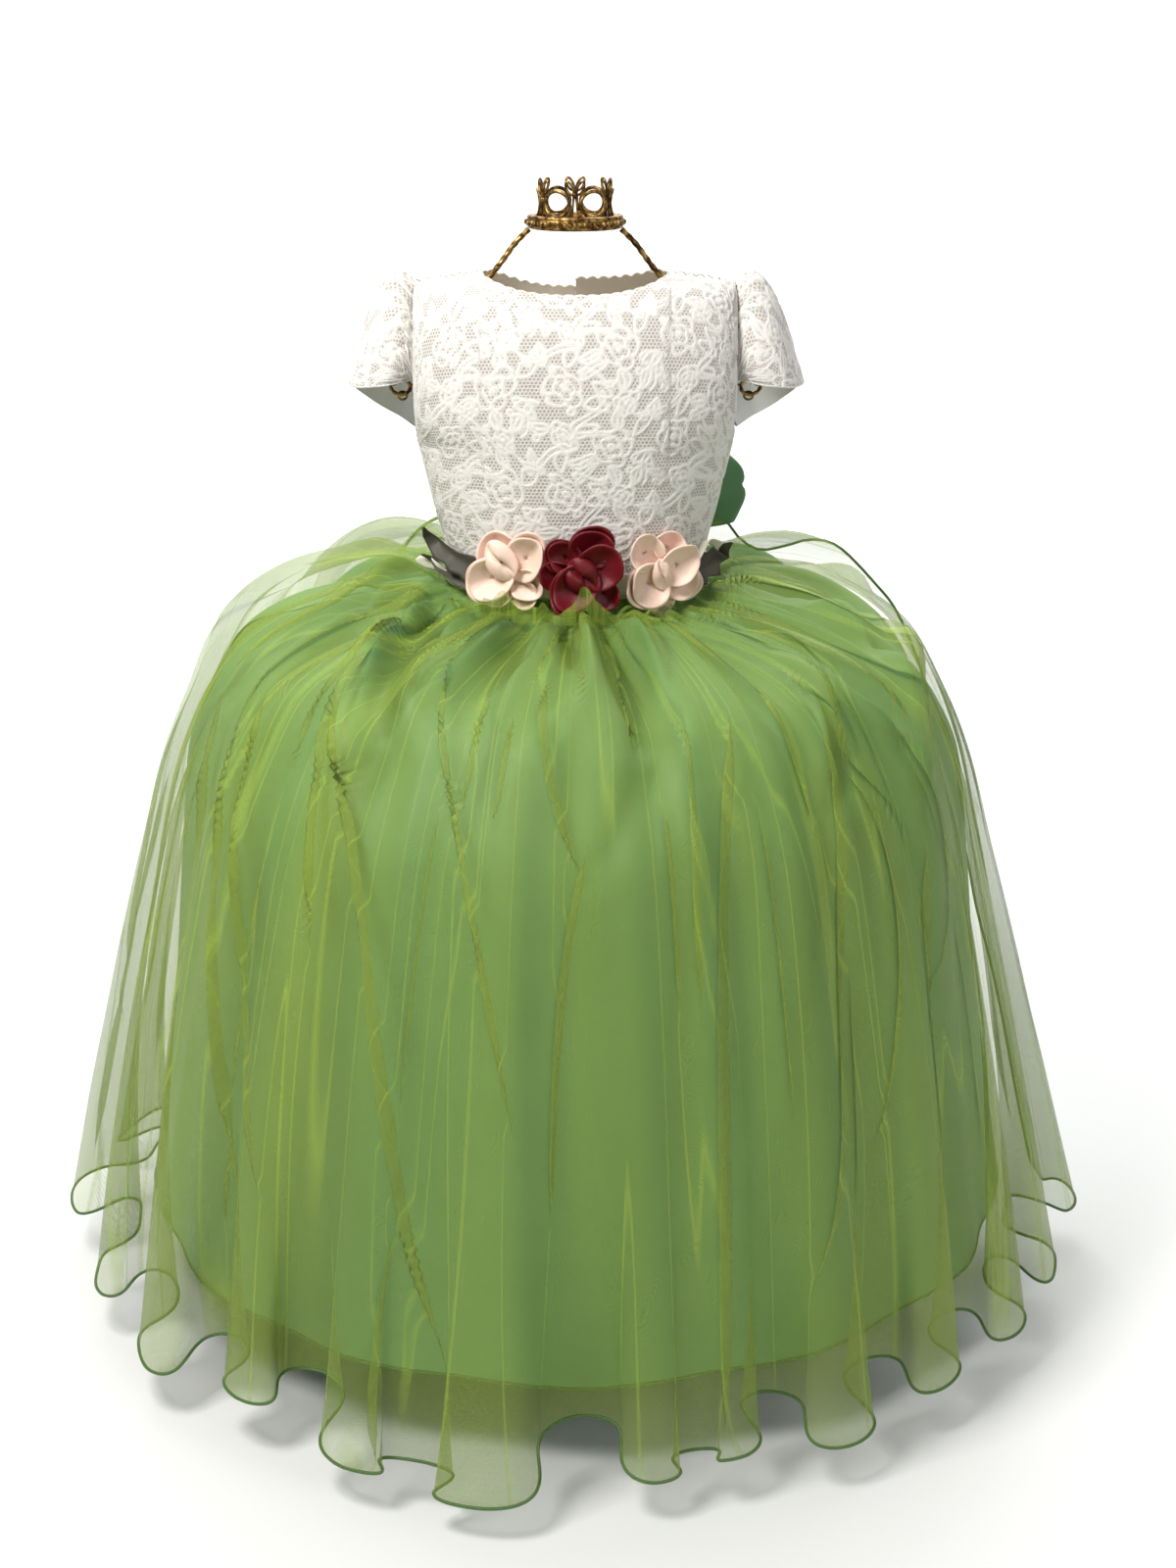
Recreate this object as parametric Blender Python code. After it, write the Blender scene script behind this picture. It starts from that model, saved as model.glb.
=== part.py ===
"""Long party dress on its metal dress form, modelled as the pieces that are cut and sewn."""

import math
from collections import namedtuple

import bmesh
import bpy
from mathutils import Vector

# Metres. +X is the viewer's right, -Y the front, +Z up. The origin is under the stand's foot.
# Azimuths are in degrees: 0 at the front, 90 at the viewer's right, 180 at the back.
SEAM_GAP = 0.0003
LACE_WALL = 0.0014
SATIN_WALL = 0.0012
TULLE_WALL = 0.0010
RIBBON_WALL = 0.0011
PETAL_WALL = 0.0022

# Bodice
UNDERARM_Z = 0.712
ARMHOLE_X = 0.1262
NECK_X = 0.073
NECK_FRONT = 0.060
NECK_BACK_LEFT = 0.062
NECK_BACK_RIGHT = 0.054
NECK_POINT_Z = 0.842
SHOULDER_END_Z = 0.834
BODY_ROUND = 2.3
SHOULDER_ROUND = 3.5
NECK_ROUND = 2.6

Section = namedtuple("Section", "height half_width front back")
BODICE_SECTIONS = (
    Section(0.597, 0.1035, 0.0790, 0.0760),
    Section(0.620, 0.1045, 0.0800, 0.0765),
    Section(0.660, 0.1140, 0.0830, 0.0780),
    Section(0.690, 0.1210, 0.0850, 0.0800),
    Section(0.712, 0.1262, 0.0860, 0.0810),
)

# How far the armhole edge stands in front of and behind the shoulder line, up the armhole.
Armhole = namedtuple("Armhole", "rise front back")
ARMHOLE = (
    Armhole(0.00, 0.000, 0.000),
    Armhole(0.12, 0.022, 0.024),
    Armhole(0.28, 0.034, 0.038),
    Armhole(0.48, 0.038, 0.044),
    Armhole(0.68, 0.034, 0.040),
    Armhole(0.84, 0.023, 0.028),
    Armhole(0.94, 0.012, 0.014),
    Armhole(1.00, 0.000, 0.000),
)
BODICE_LOWER_ROWS = (0.597, 0.620, 0.660)
BODICE_UPPER_RISES = (0.0, 0.12, 0.28, 0.48, 0.68, 0.84, 0.94, 0.985, 1.0)
NECK_SHARE = NECK_X / ARMHOLE_X
BODICE_ACROSS = (0.0, 0.12, 0.24, 0.36, 0.48, NECK_SHARE, 0.67, 0.76, 0.84, 0.91, 0.96, 0.99, 1.0)

# Sleeves: where each stretch leaves the armhole (rise; minus is in front) and where its hem lies.
Stretch = namedtuple("Stretch", "rise side hem_x hem_y hem_z puff")
SLEEVE_STRETCHES = (
    Stretch(0.43, -1, 0.1310, -0.0395, 0.763, 0.000),
    Stretch(0.58, -1, 0.1480, -0.0500, 0.761, 0.010),
    Stretch(0.72, -1, 0.1660, -0.0450, 0.759, 0.022),
    Stretch(0.88, -1, 0.1780, -0.0250, 0.758, 0.031),
    Stretch(1.00, 1, 0.1820, 0.0000, 0.757, 0.034),
    Stretch(0.88, 1, 0.1780, 0.0280, 0.748, 0.031),
    Stretch(0.66, 1, 0.1660, 0.0480, 0.735, 0.022),
    Stretch(0.38, 1, 0.1480, 0.0560, 0.723, 0.010),
    Stretch(0.10, 1, 0.1310, 0.0340, 0.716, 0.000),
)
SLEEVE_COLUMNS = 14
SLEEVE_ROWS = 5

# Skirts, from the waist seam down. The waist share says how much of the waist's oval is left.
SATIN_COLUMN_NAMES = "satin_r satin_z satin_front_z"
TULLE_COLUMN_NAMES = "tulle_r tulle_z tulle_front_z waist_share right_edge left_edge wave"
Level = namedtuple("Level", SATIN_COLUMN_NAMES + " " + TULLE_COLUMN_NAMES)
SKIRT_LEVELS = (
    Level(0.1030, 0.5965, 0.5965, 0.1047, 0.5978, 0.5978, 1.00, 166.0, -166.0, 0.00),
    Level(0.1108, 0.5955, 0.5855, 0.1132, 0.5980, 0.5872, 1.30, 158.0, -160.0, 0.00),
    Level(0.1300, 0.5925, 0.5795, 0.1320, 0.6070, 0.5830, 0.95, 147.0, -155.0, 0.00),
    Level(0.1550, 0.5880, 0.5765, 0.1580, 0.6105, 0.5815, 0.85, 137.0, -150.0, 0.00),
    Level(0.1900, 0.5795, 0.5705, 0.1950, 0.6065, 0.5785, 0.65, 126.0, -148.0, 0.02),
    Level(0.2320, 0.5640, 0.5580, 0.2400, 0.5910, 0.5690, 0.40, 113.0, -147.0, 0.04),
    Level(0.2730, 0.5385, 0.5350, 0.2830, 0.5610, 0.5500, 0.20, 107.0, -146.0, 0.06),
    Level(0.3040, 0.5010, 0.4990, 0.3150, 0.5080, 0.5060, 0.08, 106.5, -146.0, 0.08),
    Level(0.3230, 0.4520, 0.4520, 0.3420, 0.4500, 0.4500, 0.00, 106.5, -146.0, 0.14),
    Level(0.3300, 0.3670, 0.3670, 0.3660, 0.3650, 0.3650, 0.00, 103.0, -146.0, 0.24),
    Level(0.3400, 0.2510, 0.2510, 0.3920, 0.2450, 0.2450, 0.00, 98.0, -146.0, 0.42),
    Level(0.3530, 0.1550, 0.1550, 0.4090, 0.1350, 0.1350, 0.00, 95.5, -146.0, 0.72),
    Level(0.3660, 0.0700, 0.0700, 0.4180, 0.0470, 0.0470, 0.00, 94.0, -146.0, 1.00),
)
SATIN_COLUMNS = 24
TULLE_FRONT_COLUMNS = 66
TULLE_BACK_COLUMNS = 21
FRONT_FULL = 50.0
FRONT_END = 80.0

# Large troughs between the satin's folds: they drift from one azimuth to another on the way down.
Trough = namedtuple("Trough", "top_azimuth low_azimuth first_level last_level half_width depth")
SATIN_TROUGHS = (
    Trough(-84.0, -76.0, 1.6, 7.0, 7.0, 0.018),
    Trough(-72.0, -54.0, 2.2, 7.4, 6.0, 0.010),
    Trough(-55.0, -31.0, 1.6, 8.0, 6.0, 0.016),
    Trough(-21.0, -19.0, 1.0, 6.0, 6.0, 0.012),
    Trough(-6.0, -4.0, 1.0, 6.6, 5.0, 0.013),
    Trough(12.0, 3.0, 1.5, 8.6, 6.0, 0.018),
    Trough(39.0, 35.0, 1.6, 8.0, 6.0, 0.016),
    Trough(62.0, 58.0, 2.0, 7.4, 7.0, 0.016),
    Trough(86.0, 75.0, 2.0, 7.0, 6.0, 0.012),
    Trough(104.0, 100.0, 1.4, 7.8, 6.5, 0.015),
    Trough(122.0, 126.0, 2.0, 7.0, 6.0, 0.013),
    Trough(141.0, 145.0, 1.2, 8.4, 6.0, 0.017),
    Trough(163.0, 160.0, 1.8, 7.2, 6.0, 0.012),
    Trough(183.0, 186.0, 1.4, 7.8, 6.5, 0.016),
    Trough(204.0, 208.0, 2.0, 7.2, 6.0, 0.012),
    Trough(225.0, 221.0, 1.2, 8.2, 6.5, 0.017),
    Trough(247.0, 250.0, 1.8, 7.4, 6.0, 0.013),
)

# The tulle's wired hem: it swings out and in, and is lowest where it is furthest out.
HemTurn = namedtuple("HemTurn", "azimuth reach drop")
HEM_TURNS = (
    HemTurn(-152.0, -0.030, -0.012),
    HemTurn(-146.0, -0.010, -0.004),
    HemTurn(-139.0, 0.030, 0.016),
    HemTurn(-131.0, -0.034, -0.014),
    HemTurn(-123.0, 0.026, 0.012),
    HemTurn(-115.0, -0.034, -0.016),
    HemTurn(-107.0, 0.028, 0.014),
    HemTurn(-98.5, -0.032, -0.012),
    HemTurn(-87.0, 0.028, 0.004),
    HemTurn(-77.0, -0.036, -0.014),
    HemTurn(-67.5, 0.012, 0.008),
    HemTurn(-58.5, -0.036, -0.014),
    HemTurn(-49.0, 0.022, 0.010),
    HemTurn(-42.5, -0.034, -0.014),
    HemTurn(-36.5, 0.008, 0.004),
    HemTurn(-30.0, -0.036, -0.014),
    HemTurn(-21.5, 0.026, 0.014),
    HemTurn(-15.5, 0.012, 0.008),
    HemTurn(-8.5, 0.038, 0.020),
    HemTurn(1.5, -0.034, -0.010),
    HemTurn(8.0, 0.016, 0.014),
    HemTurn(12.0, -0.002, 0.004),
    HemTurn(16.5, 0.008, 0.008),
    HemTurn(21.0, -0.034, -0.014),
    HemTurn(27.5, 0.020, 0.012),
    HemTurn(35.0, -0.036, -0.014),
    HemTurn(41.5, 0.008, 0.008),
    HemTurn(48.5, -0.036, -0.016),
    HemTurn(55.5, 0.010, 0.008),
    HemTurn(62.5, -0.036, -0.014),
    HemTurn(70.0, 0.012, 0.008),
    HemTurn(78.5, -0.036, -0.014),
    HemTurn(87.0, 0.028, 0.006),
    HemTurn(94.0, -0.004, -0.004),
    HemTurn(104.0, -0.010, -0.004),
)

# Belt, flowers, leaves
BELT_LOW = 0.5994
BELT_HIGH = 0.6185
Flower = namedtuple("Flower", "name x z radius stand_off turn material")
FLOWERS = (
    Flower("flower_left", -0.0510, 0.6215, 0.0325, 0.0030, 12.0, "peach_satin"),
    Flower("flower_centre", 0.0055, 0.6235, 0.0325, 0.0160, 54.0, "burgundy_satin"),
    Flower("flower_right", 0.0620, 0.6215, 0.0325, 0.0030, 30.0, "peach_satin"),
)
FLOWER_COLUMNS = 20
Leaf = namedtuple("Leaf", "name root_x root_z tip_x tip_z tip_lift breadth")
LEAVES = (
    Leaf("leaf_left", -0.0780, 0.6175, -0.1085, 0.6420, 0.0075, 0.0105),
    Leaf("leaf_left_low", -0.0800, 0.6080, -0.1060, 0.6065, 0.0100, 0.0035),
    Leaf("leaf_right", 0.0860, 0.6150, 0.1075, 0.6240, 0.0095, 0.0120),
)
LEAF_TEETH = 4
LEAF_NOTCH = 0.72
LEAF_TIP = 0.22

# Rings of a flower from its back to its bud, as shares of its radius and heights over its calyx.
# Lobes is how deep the petals are notched, ripple how far their middles rise, folds how many there are.
PetalRing = namedtuple("PetalRing", "reach lift lobes ripple folds")
PETAL_RINGS = (
    PetalRing(0.26, 0.0000, 0.00, 0.0000, 5),
    PetalRing(0.97, 0.0010, 0.16, -0.0006, 5),
    PetalRing(1.00, 0.0010 + PETAL_WALL, 0.16, -0.0006, 5),
    PetalRing(0.80, 0.0060, 0.14, 0.0015, 5),
    PetalRing(0.56, 0.0050, 0.05, 0.0000, 5),
    PetalRing(0.53, 0.0100, 0.12, 0.0010, 3),
    PetalRing(0.30, 0.0085, 0.00, 0.0000, 3),
    PetalRing(0.24, 0.0135, 0.00, 0.0000, 3),
    PetalRing(0.10, 0.0150, 0.00, 0.0000, 3),
)
CALYX_SHARE = 0.24

# Bow
KNOT_HALF = Vector((0.0105, 0.0105, 0.0215))
KNOT_Z = 0.6300
KNOT_PROFILE = ((0.55, -1.0), (0.92, -0.8), (1.0, 0.0), (0.92, 0.8), (0.55, 1.0))
LOOP_START_X = KNOT_HALF.x + 0.0007
LOOP_MIDDLE = (0.09, 0.11)
BowTurn = namedtuple("BowTurn", "x y low high")
BOW_LOOP = (
    BowTurn(LOOP_START_X, 0.0865, 0.6190, 0.6420),
    BowTurn(0.0300, 0.0850, 0.6180, 0.6540),
    BowTurn(0.0600, 0.0870, 0.6175, 0.6700),
    BowTurn(0.0950, 0.0960, 0.6175, 0.6800),
    BowTurn(0.1230, 0.1080, 0.6180, 0.6820),
    BowTurn(0.1370, 0.1190, 0.6200, 0.6800),
    BowTurn(0.1330, 0.1300, 0.6210, 0.6780),
    BowTurn(0.1150, 0.1340, 0.6200, 0.6770),
    BowTurn(0.0850, 0.1310, 0.6190, 0.6720),
    BowTurn(0.0500, 0.1200, 0.6190, 0.6600),
    BowTurn(0.0250, 0.1070, 0.6200, 0.6480),
    BowTurn(LOOP_START_X, 0.0985, 0.6210, 0.6400),
)
BOW_LOOP_STEPS = 16
TailStep = namedtuple("TailStep", "level centre half_width")
BOW_TAIL = (
    TailStep(1.6, 0.0090, 0.0085),
    TailStep(2.2, 0.0140, 0.0120),
    TailStep(3.0, 0.0210, 0.0170),
    TailStep(4.0, 0.0270, 0.0215),
    TailStep(5.0, 0.0320, 0.0245),
    TailStep(6.0, 0.0370, 0.0265),
    TailStep(7.0, 0.0420, 0.0280),
    TailStep(8.0, 0.0460, 0.0285),
    TailStep(8.6, 0.0490, 0.0290),
)
TAIL_LIFT = 0.0006
TAIL_ROOT_INNER_X = 0.0015
TAIL_ROOT_WIDTH = 0.0120
TAIL_ROOT_Y = 0.1010

# Zip
ZIP_TAPE_HALF = 0.0110
ZIP_TAPE_WALL = 0.0007
ZIP_ROWS = 8
PULL_HALF_WIDTH = 0.0022
PULL_THICKNESS = 0.0014
PULL_LENGTH = 0.0150
PULL_BELOW_NECK = 0.0120
PULL_OUTLINE = ((-0.7, 0.0), (-1.0, -0.8), (-0.6, -1.0), (0.6, -1.0), (1.0, -0.8), (0.7, 0.0))

# Dress form
WIRE_R = 0.0024
RING_WIRE_R = 0.0030
SPOKE_AZIMUTHS = (45, 135, 225, 315)
FOOT_PROFILE = (
    (0.1370, 0.0000), (0.1400, 0.0020), (0.1400, 0.0050), (0.1360, 0.0068), (0.0400, 0.0090),
    (0.0200, 0.0150), (0.0120, 0.0300), (0.0080, 0.0480), (0.0080, 0.5900),
)
RING_HALF_WIDTH = 0.0978
RING_FRONT = 0.0735
RING_BACK = 0.0695
RING_Z = 0.6000
CHEST_Z = 0.7000
CHEST_HALF_WIDTH = 0.1176
CHEST_FRONT = 0.0800
CHEST_BACK = 0.0735
HUB_R = 0.0140
HUB_RISE = 0.0035
RIB_BEND_Z = 0.640

# A side rod's centre line, from the waist ring up the side. Over the shoulder it follows the seam.
ROD_SIDE = (
    (0.0990, 0.630), (0.1060, 0.665), (0.1125, 0.690), (0.1125, 0.708), (0.1180, 0.735),
    (0.1215, 0.765), (0.1222, 0.795), (0.1205, 0.818),
)
ROD_SHOULDER_XS = (0.1130, 0.1000, 0.0850, 0.0760)
ROD_NECK = ((0.0690, 0.8385), (0.0630, 0.8445), (0.0565, 0.8525), (0.0480, 0.8640))
ROD_END = (0.0361, 0.8759)
ROD_STEPS = 26
SCROLL_CENTRE = (0.1385, 0.7535)
SCROLL_R = 0.0112
SCROLL_INNER = 0.38
SCROLL_START = 200
SCROLL_SWEEP = 520
SCROLL_STEPS = 12
SCROLL_WIRE_R = 0.0018
SCROLL_ROOT = (0.1203, 0.7515)
NECK_PROFILE = (
    (0.0260, 0.8800), (0.0340, 0.8765), (0.0375, 0.8775), (0.0385, 0.8810),
    (0.0375, 0.8850), (0.0345, 0.8868), (0.0260, 0.8860),
)
CROWN_LOOPS = 6
CROWN_R = 0.0290
CROWN_LOOP_R = 0.0106
CROWN_LOOP_Z = 0.8965
CROWN_BUD_R = 0.0066
CROWN_BUD_Z = 0.9072
CROWN_WIRE_R = 0.0014

COLOURS = {
    "ivory_lace": ((0.84, 0.81, 0.75), 0.80, 0.0),
    "green_satin": ((0.20, 0.43, 0.12), 0.45, 0.0),
    "green_tulle": ((0.26, 0.42, 0.06), 0.70, 0.0),
    "cream_ribbon": ((0.82, 0.78, 0.66), 0.45, 0.0),
    "peach_satin": ((0.83, 0.56, 0.47), 0.35, 0.0),
    "burgundy_satin": ((0.16, 0.008, 0.016), 0.35, 0.0),
    "dark_satin": ((0.035, 0.028, 0.022), 0.40, 0.0),
    "sash_satin": ((0.045, 0.13, 0.045), 0.45, 0.0),
    "zip_tape": ((0.80, 0.78, 0.72), 0.60, 0.0),
    "antique_brass": ((0.28, 0.17, 0.055), 0.40, 1.0),
}


def clear_scene():
    for item in list(bpy.data.objects):
        bpy.data.objects.remove(item, do_unlink=True)


def material(name):
    found = bpy.data.materials.get(name)
    if found:
        return found
    colour, roughness, metallic = COLOURS[name]
    made = bpy.data.materials.new(name)
    made.use_nodes = True
    shader = made.node_tree.nodes["Principled BSDF"]
    shader.inputs["Base Color"].default_value = (*colour, 1.0)
    shader.inputs["Roughness"].default_value = roughness
    shader.inputs["Metallic"].default_value = metallic
    return made


def smooth(places, values, at):
    """A curve through the values that never overshoots them."""
    if at <= places[0]:
        return values[0]
    if at >= places[-1]:
        return values[-1]
    gaps = [b - a for a, b in zip(places, places[1:])]
    rates = [(b - a) / gap for a, b, gap in zip(values, values[1:], gaps)]
    slopes = [rates[0]]
    for before, after in zip(rates, rates[1:]):
        slopes.append(0.0 if before * after <= 0 else 2 * before * after / (before + after))
    slopes.append(rates[-1])
    k = max(i for i in range(len(gaps)) if places[i] <= at)
    t = (at - places[k]) / gaps[k]
    return ((2 * t**3 - 3 * t**2 + 1) * values[k] + (t**3 - 2 * t**2 + t) * gaps[k] * slopes[k]
            + (3 * t**2 - 2 * t**3) * values[k + 1] + (t**3 - t**2) * gaps[k] * slopes[k + 1])


def read(table, column, at, key=None):
    """A table's column at a place between its rows, by row number or by another column."""
    places = [getattr(row, key) for row in table] if key else list(range(len(table)))
    return smooth(places, [getattr(row, column) for row in table], at)


def add_object(name, points, faces, finish, round_shading=True):
    """A named object whose closed body faces outwards."""
    mesh = bpy.data.meshes.new(name)
    shape = bmesh.new()
    corners = [shape.verts.new(point) for point in points]
    for face in faces:
        shape.faces.new([corners[i] for i in face])
    if shape.calc_volume(signed=True) < 0:
        bmesh.ops.reverse_faces(shape, faces=shape.faces)
    shape.to_mesh(mesh)
    shape.free()
    if round_shading:
        mesh.shade_smooth()
        mesh.set_sharp_from_angle(angle=math.radians(40))
    mesh.materials.append(material(finish))
    made = bpy.data.objects.new(name, mesh)
    bpy.context.collection.objects.link(made)
    return made


def wall_parts(outer, inner, closed):
    """Points and faces of a wall between two matching grids."""
    rows, columns = len(outer), len(outer[0])
    points = [point for grid in (outer, inner) for line in grid for point in line]

    def at(layer, row, column):
        return (layer * rows + row) * columns + column % columns

    spans = columns if closed else columns - 1
    faces = []
    for row in range(rows - 1):
        for column in range(spans):
            faces.append([at(0, row, column), at(0, row, column + 1),
                          at(0, row + 1, column + 1), at(0, row + 1, column)])
            faces.append([at(1, row, column), at(1, row + 1, column),
                          at(1, row + 1, column + 1), at(1, row, column + 1)])
    for column in range(spans):
        faces.append([at(1, 0, column), at(1, 0, column + 1), at(0, 0, column + 1), at(0, 0, column)])
        faces.append([at(0, rows - 1, column), at(0, rows - 1, column + 1),
                      at(1, rows - 1, column + 1), at(1, rows - 1, column)])
    if not closed:
        for row in range(rows - 1):
            faces.append([at(0, row, 0), at(0, row + 1, 0), at(1, row + 1, 0), at(1, row, 0)])
            faces.append([at(1, row, columns - 1), at(1, row + 1, columns - 1),
                          at(0, row + 1, columns - 1), at(0, row, columns - 1)])
    return points, faces


def grid_normals(grid, closed, towards):
    """Unit normals of a grid of points, on the side that the direction function names."""
    rows, columns = len(grid), len(grid[0])
    normals = []
    agreement = 0.0
    for row in range(rows):
        line = []
        for column in range(columns):
            if closed:
                along = grid[row][(column + 1) % columns] - grid[row][column - 1]
            else:
                along = grid[row][min(column + 1, columns - 1)] - grid[row][max(column - 1, 0)]
            up = grid[min(row + 1, rows - 1)][column] - grid[max(row - 1, 0)][column]
            normal = along.cross(up)
            point = grid[row][column]
            # A seam's edge is met squarely by the piece on its other side.
            if abs(point.y) < 1e-6:
                normal.y = 0.0
            if abs(point.x) < 1e-6:
                normal.x = 0.0
            normal.normalize()
            agreement += normal.dot(towards(point))
            line.append(normal)
        normals.append(line)
    sign = 1.0 if agreement > 0 else -1.0
    return [[normal * sign for normal in line] for line in normals]


def from_axis(point):
    return Vector((point.x, point.y, 0.0))


def moved(grid, normals, distance):
    return [[point + normal * distance for point, normal in zip(line, turned)]
            for line, turned in zip(grid, normals)]


def add_wall(name, outer, thickness, finish, closed=False, towards=from_axis, shift=(0, 0, 0), limit=None):
    """A cloth wall under a grid of outer points."""
    inner = moved(outer, grid_normals(outer, closed, towards), -thickness)
    if limit:
        inner = [[limit(point) for point in line] for line in inner]
    offset = Vector(shift)
    outer = [[point + offset for point in line] for line in outer]
    inner = [[point + offset for point in line] for line in inner]
    return add_object(name, *wall_parts(outer, inner, closed), finish)


def through(points, steps):
    """Points along a smooth curve through a few chosen ones."""
    lengths = [0.0]
    for a, b in zip(points, points[1:]):
        lengths.append(lengths[-1] + (b - a).length)
    made = []
    for step in range(steps + 1):
        at = lengths[-1] * step / steps
        made.append(Vector([smooth(lengths, [point[axis] for point in points], at) for axis in range(3)]))
    return made


def tube_parts(path, radius, sides, closed=False):
    """Points and faces of a wire along a path."""
    count = len(path)
    frames = []
    side = None
    for i in range(count):
        if closed:
            heading = (path[(i + 1) % count] - path[i - 1]).normalized()
        else:
            heading = (path[min(i + 1, count - 1)] - path[max(i - 1, 0)]).normalized()
        if side is None:
            guess = Vector((0, 0, 1)) if abs(heading.z) < 0.9 else Vector((0, 1, 0))
            side = guess - heading * guess.dot(heading)
        else:
            side = side - heading * side.dot(heading)
        side.normalize()
        frames.append((side.copy(), heading.cross(side)))
    points = []
    for centre, (first, second) in zip(path, frames):
        for k in range(sides):
            turn = 2 * math.pi * k / sides
            points.append(centre + (first * math.cos(turn) + second * math.sin(turn)) * radius)
    faces = []
    for i in range(count if closed else count - 1):
        for k in range(sides):
            a, b = i * sides + k, i * sides + (k + 1) % sides
            after = (i + 1) % count * sides
            faces.append([a, b, after + (k + 1) % sides, after + k])
    if not closed:
        faces.append(list(range(sides))[::-1])
        faces.append([(count - 1) * sides + k for k in range(sides)])
    return points, faces


def turned_parts(profile, columns, closed_profile=False):
    """Points and faces of a profile turned round the upright axis; open ends are capped flat."""
    points = []
    for radius, height in profile:
        for k in range(columns):
            turn = 2 * math.pi * k / columns
            points.append(Vector((radius * math.sin(turn), -radius * math.cos(turn), height)))
    faces = []
    count = len(profile)
    for i in range(count if closed_profile else count - 1):
        for k in range(columns):
            after = (i + 1) % count * columns
            faces.append([i * columns + k, i * columns + (k + 1) % columns,
                          after + (k + 1) % columns, after + k])
    if not closed_profile:
        faces.append(list(range(columns))[::-1])
        faces.append([(count - 1) * columns + k for k in range(columns)])
    return points, faces


def fuse(name, parts, finish):
    """One body from pieces that are welded together."""
    whole = add_object(name, *parts[0], finish)
    for number, piece in enumerate(parts[1:]):
        cutter = add_object(f"{name}_weld_{number}", *piece, finish)
        cutter.hide_render = True
        cutter.display_type = "WIRE"
        weld = whole.modifiers.new(f"weld {number}", "BOOLEAN")
        weld.operation = "UNION"
        weld.solver = "EXACT"
        weld.object = cutter
        joined = bpy.data.meshes.new_from_object(whole.evaluated_get(bpy.context.evaluated_depsgraph_get()))
        whole.modifiers.remove(weld)
        whole.data = joined
        bpy.data.objects.remove(cutter, do_unlink=True)
    return whole


def oval(azimuth, half_width, front, back, roundness=BODY_ROUND):
    """How far the body's oval section reaches in a direction."""
    x, y = math.sin(azimuth), math.cos(azimuth)
    depth = front if y > 0 else back
    return (abs(x / half_width)**roundness + abs(y / depth)**roundness)**(-1 / roundness)


def oval_path(half_width, front, back, height, steps):
    path = []
    for step in range(steps):
        azimuth = 2 * math.pi * step / steps
        reach = oval(azimuth, half_width, front, back)
        path.append(Vector((reach * math.sin(azimuth), -reach * math.cos(azimuth), height)))
    return path


def fall_off(across):
    """How much of a section's depth is left at a share of its half width."""
    return max(0.0, 1.0 - abs(across)**BODY_ROUND)**(1 / BODY_ROUND)


def shoulder_z(x):
    return NECK_POINT_Z + (SHOULDER_END_Z - NECK_POINT_Z) * max(0.0, abs(x) - NECK_X) / (ARMHOLE_X - NECK_X)


def bodice_low_point(side, across, height):
    """A point between the waist and the underarm; side is -1 in front and 1 at the back."""
    half = read(BODICE_SECTIONS, "half_width", height, "height")
    depth = read(BODICE_SECTIONS, "front" if side < 0 else "back", height, "height")
    return Vector((half * across, side * depth * fall_off(across), height))


def bodice_high_point(side, across, rise):
    """A point between the underarm, where rise is 0, and the shoulder line, where it is 1."""
    chest = BODICE_SECTIONS[-1]
    depth = chest.front if side < 0 else chest.back
    depth *= max(0.0, 1 - rise**SHOULDER_ROUND)**(1 / SHOULDER_ROUND)
    edge = read(ARMHOLE, "front" if side < 0 else "back", rise, "rise")
    x = ARMHOLE_X * across
    y = edge + max(0.0, depth - edge) * fall_off(across)
    return Vector((x, side * y, UNDERARM_Z + rise * (shoulder_z(x) - UNDERARM_Z)))


def neckline_rise(side, across, neck_depth):
    """Where the neckline crosses a column of the bodice, or 1 where the column reaches the shoulder."""
    x = abs(ARMHOLE_X * across)
    if x >= NECK_X - 1e-6:
        return 1.0
    wanted = neck_depth * (1 - (x / NECK_X)**NECK_ROUND)**(1 / NECK_ROUND)
    low, high = 0.5, 1.0
    for _ in range(40):
        middle = (low + high) / 2
        if abs(bodice_high_point(side, across, middle).y) > wanted:
            low = middle
        else:
            high = middle
    return low


def bodice_grid(side, columns, neck_depth):
    grid = [[bodice_low_point(side, across, height) for across in columns] for height in BODICE_LOWER_ROWS]
    for rise in BODICE_UPPER_RISES:
        line = []
        for across in columns:
            top = math.asin(neckline_rise(side, across, neck_depth)**(SHOULDER_ROUND / 2))
            turn = math.asin(rise**(SHOULDER_ROUND / 2)) * top / (math.pi / 2)
            line.append(bodice_high_point(side, across, math.sin(turn)**(2 / SHOULDER_ROUND)))
        grid.append(line)
    return grid


def add_bodice():
    half = list(BODICE_ACROSS)
    whole = [-across for across in reversed(half[1:])] + half
    add_wall("bodice_front", bodice_grid(-1, whole, NECK_FRONT), LACE_WALL, "ivory_lace",
             towards=upper_body_out, shift=(0, -SEAM_GAP / 2, 0))
    backs = (("bodice_back_left", -1, NECK_BACK_LEFT), ("bodice_back_right", 1, NECK_BACK_RIGHT))
    for name, sign, neck in backs:
        columns = [sign * across for across in half]
        add_wall(name, bodice_grid(1, columns, neck), LACE_WALL, "ivory_lace",
                 towards=upper_body_out, shift=(sign * SEAM_GAP / 2, SEAM_GAP / 2, 0))


def upper_body_out(point):
    return Vector((point.x, point.y, max(0.0, point.z - UNDERARM_Z)))


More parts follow.
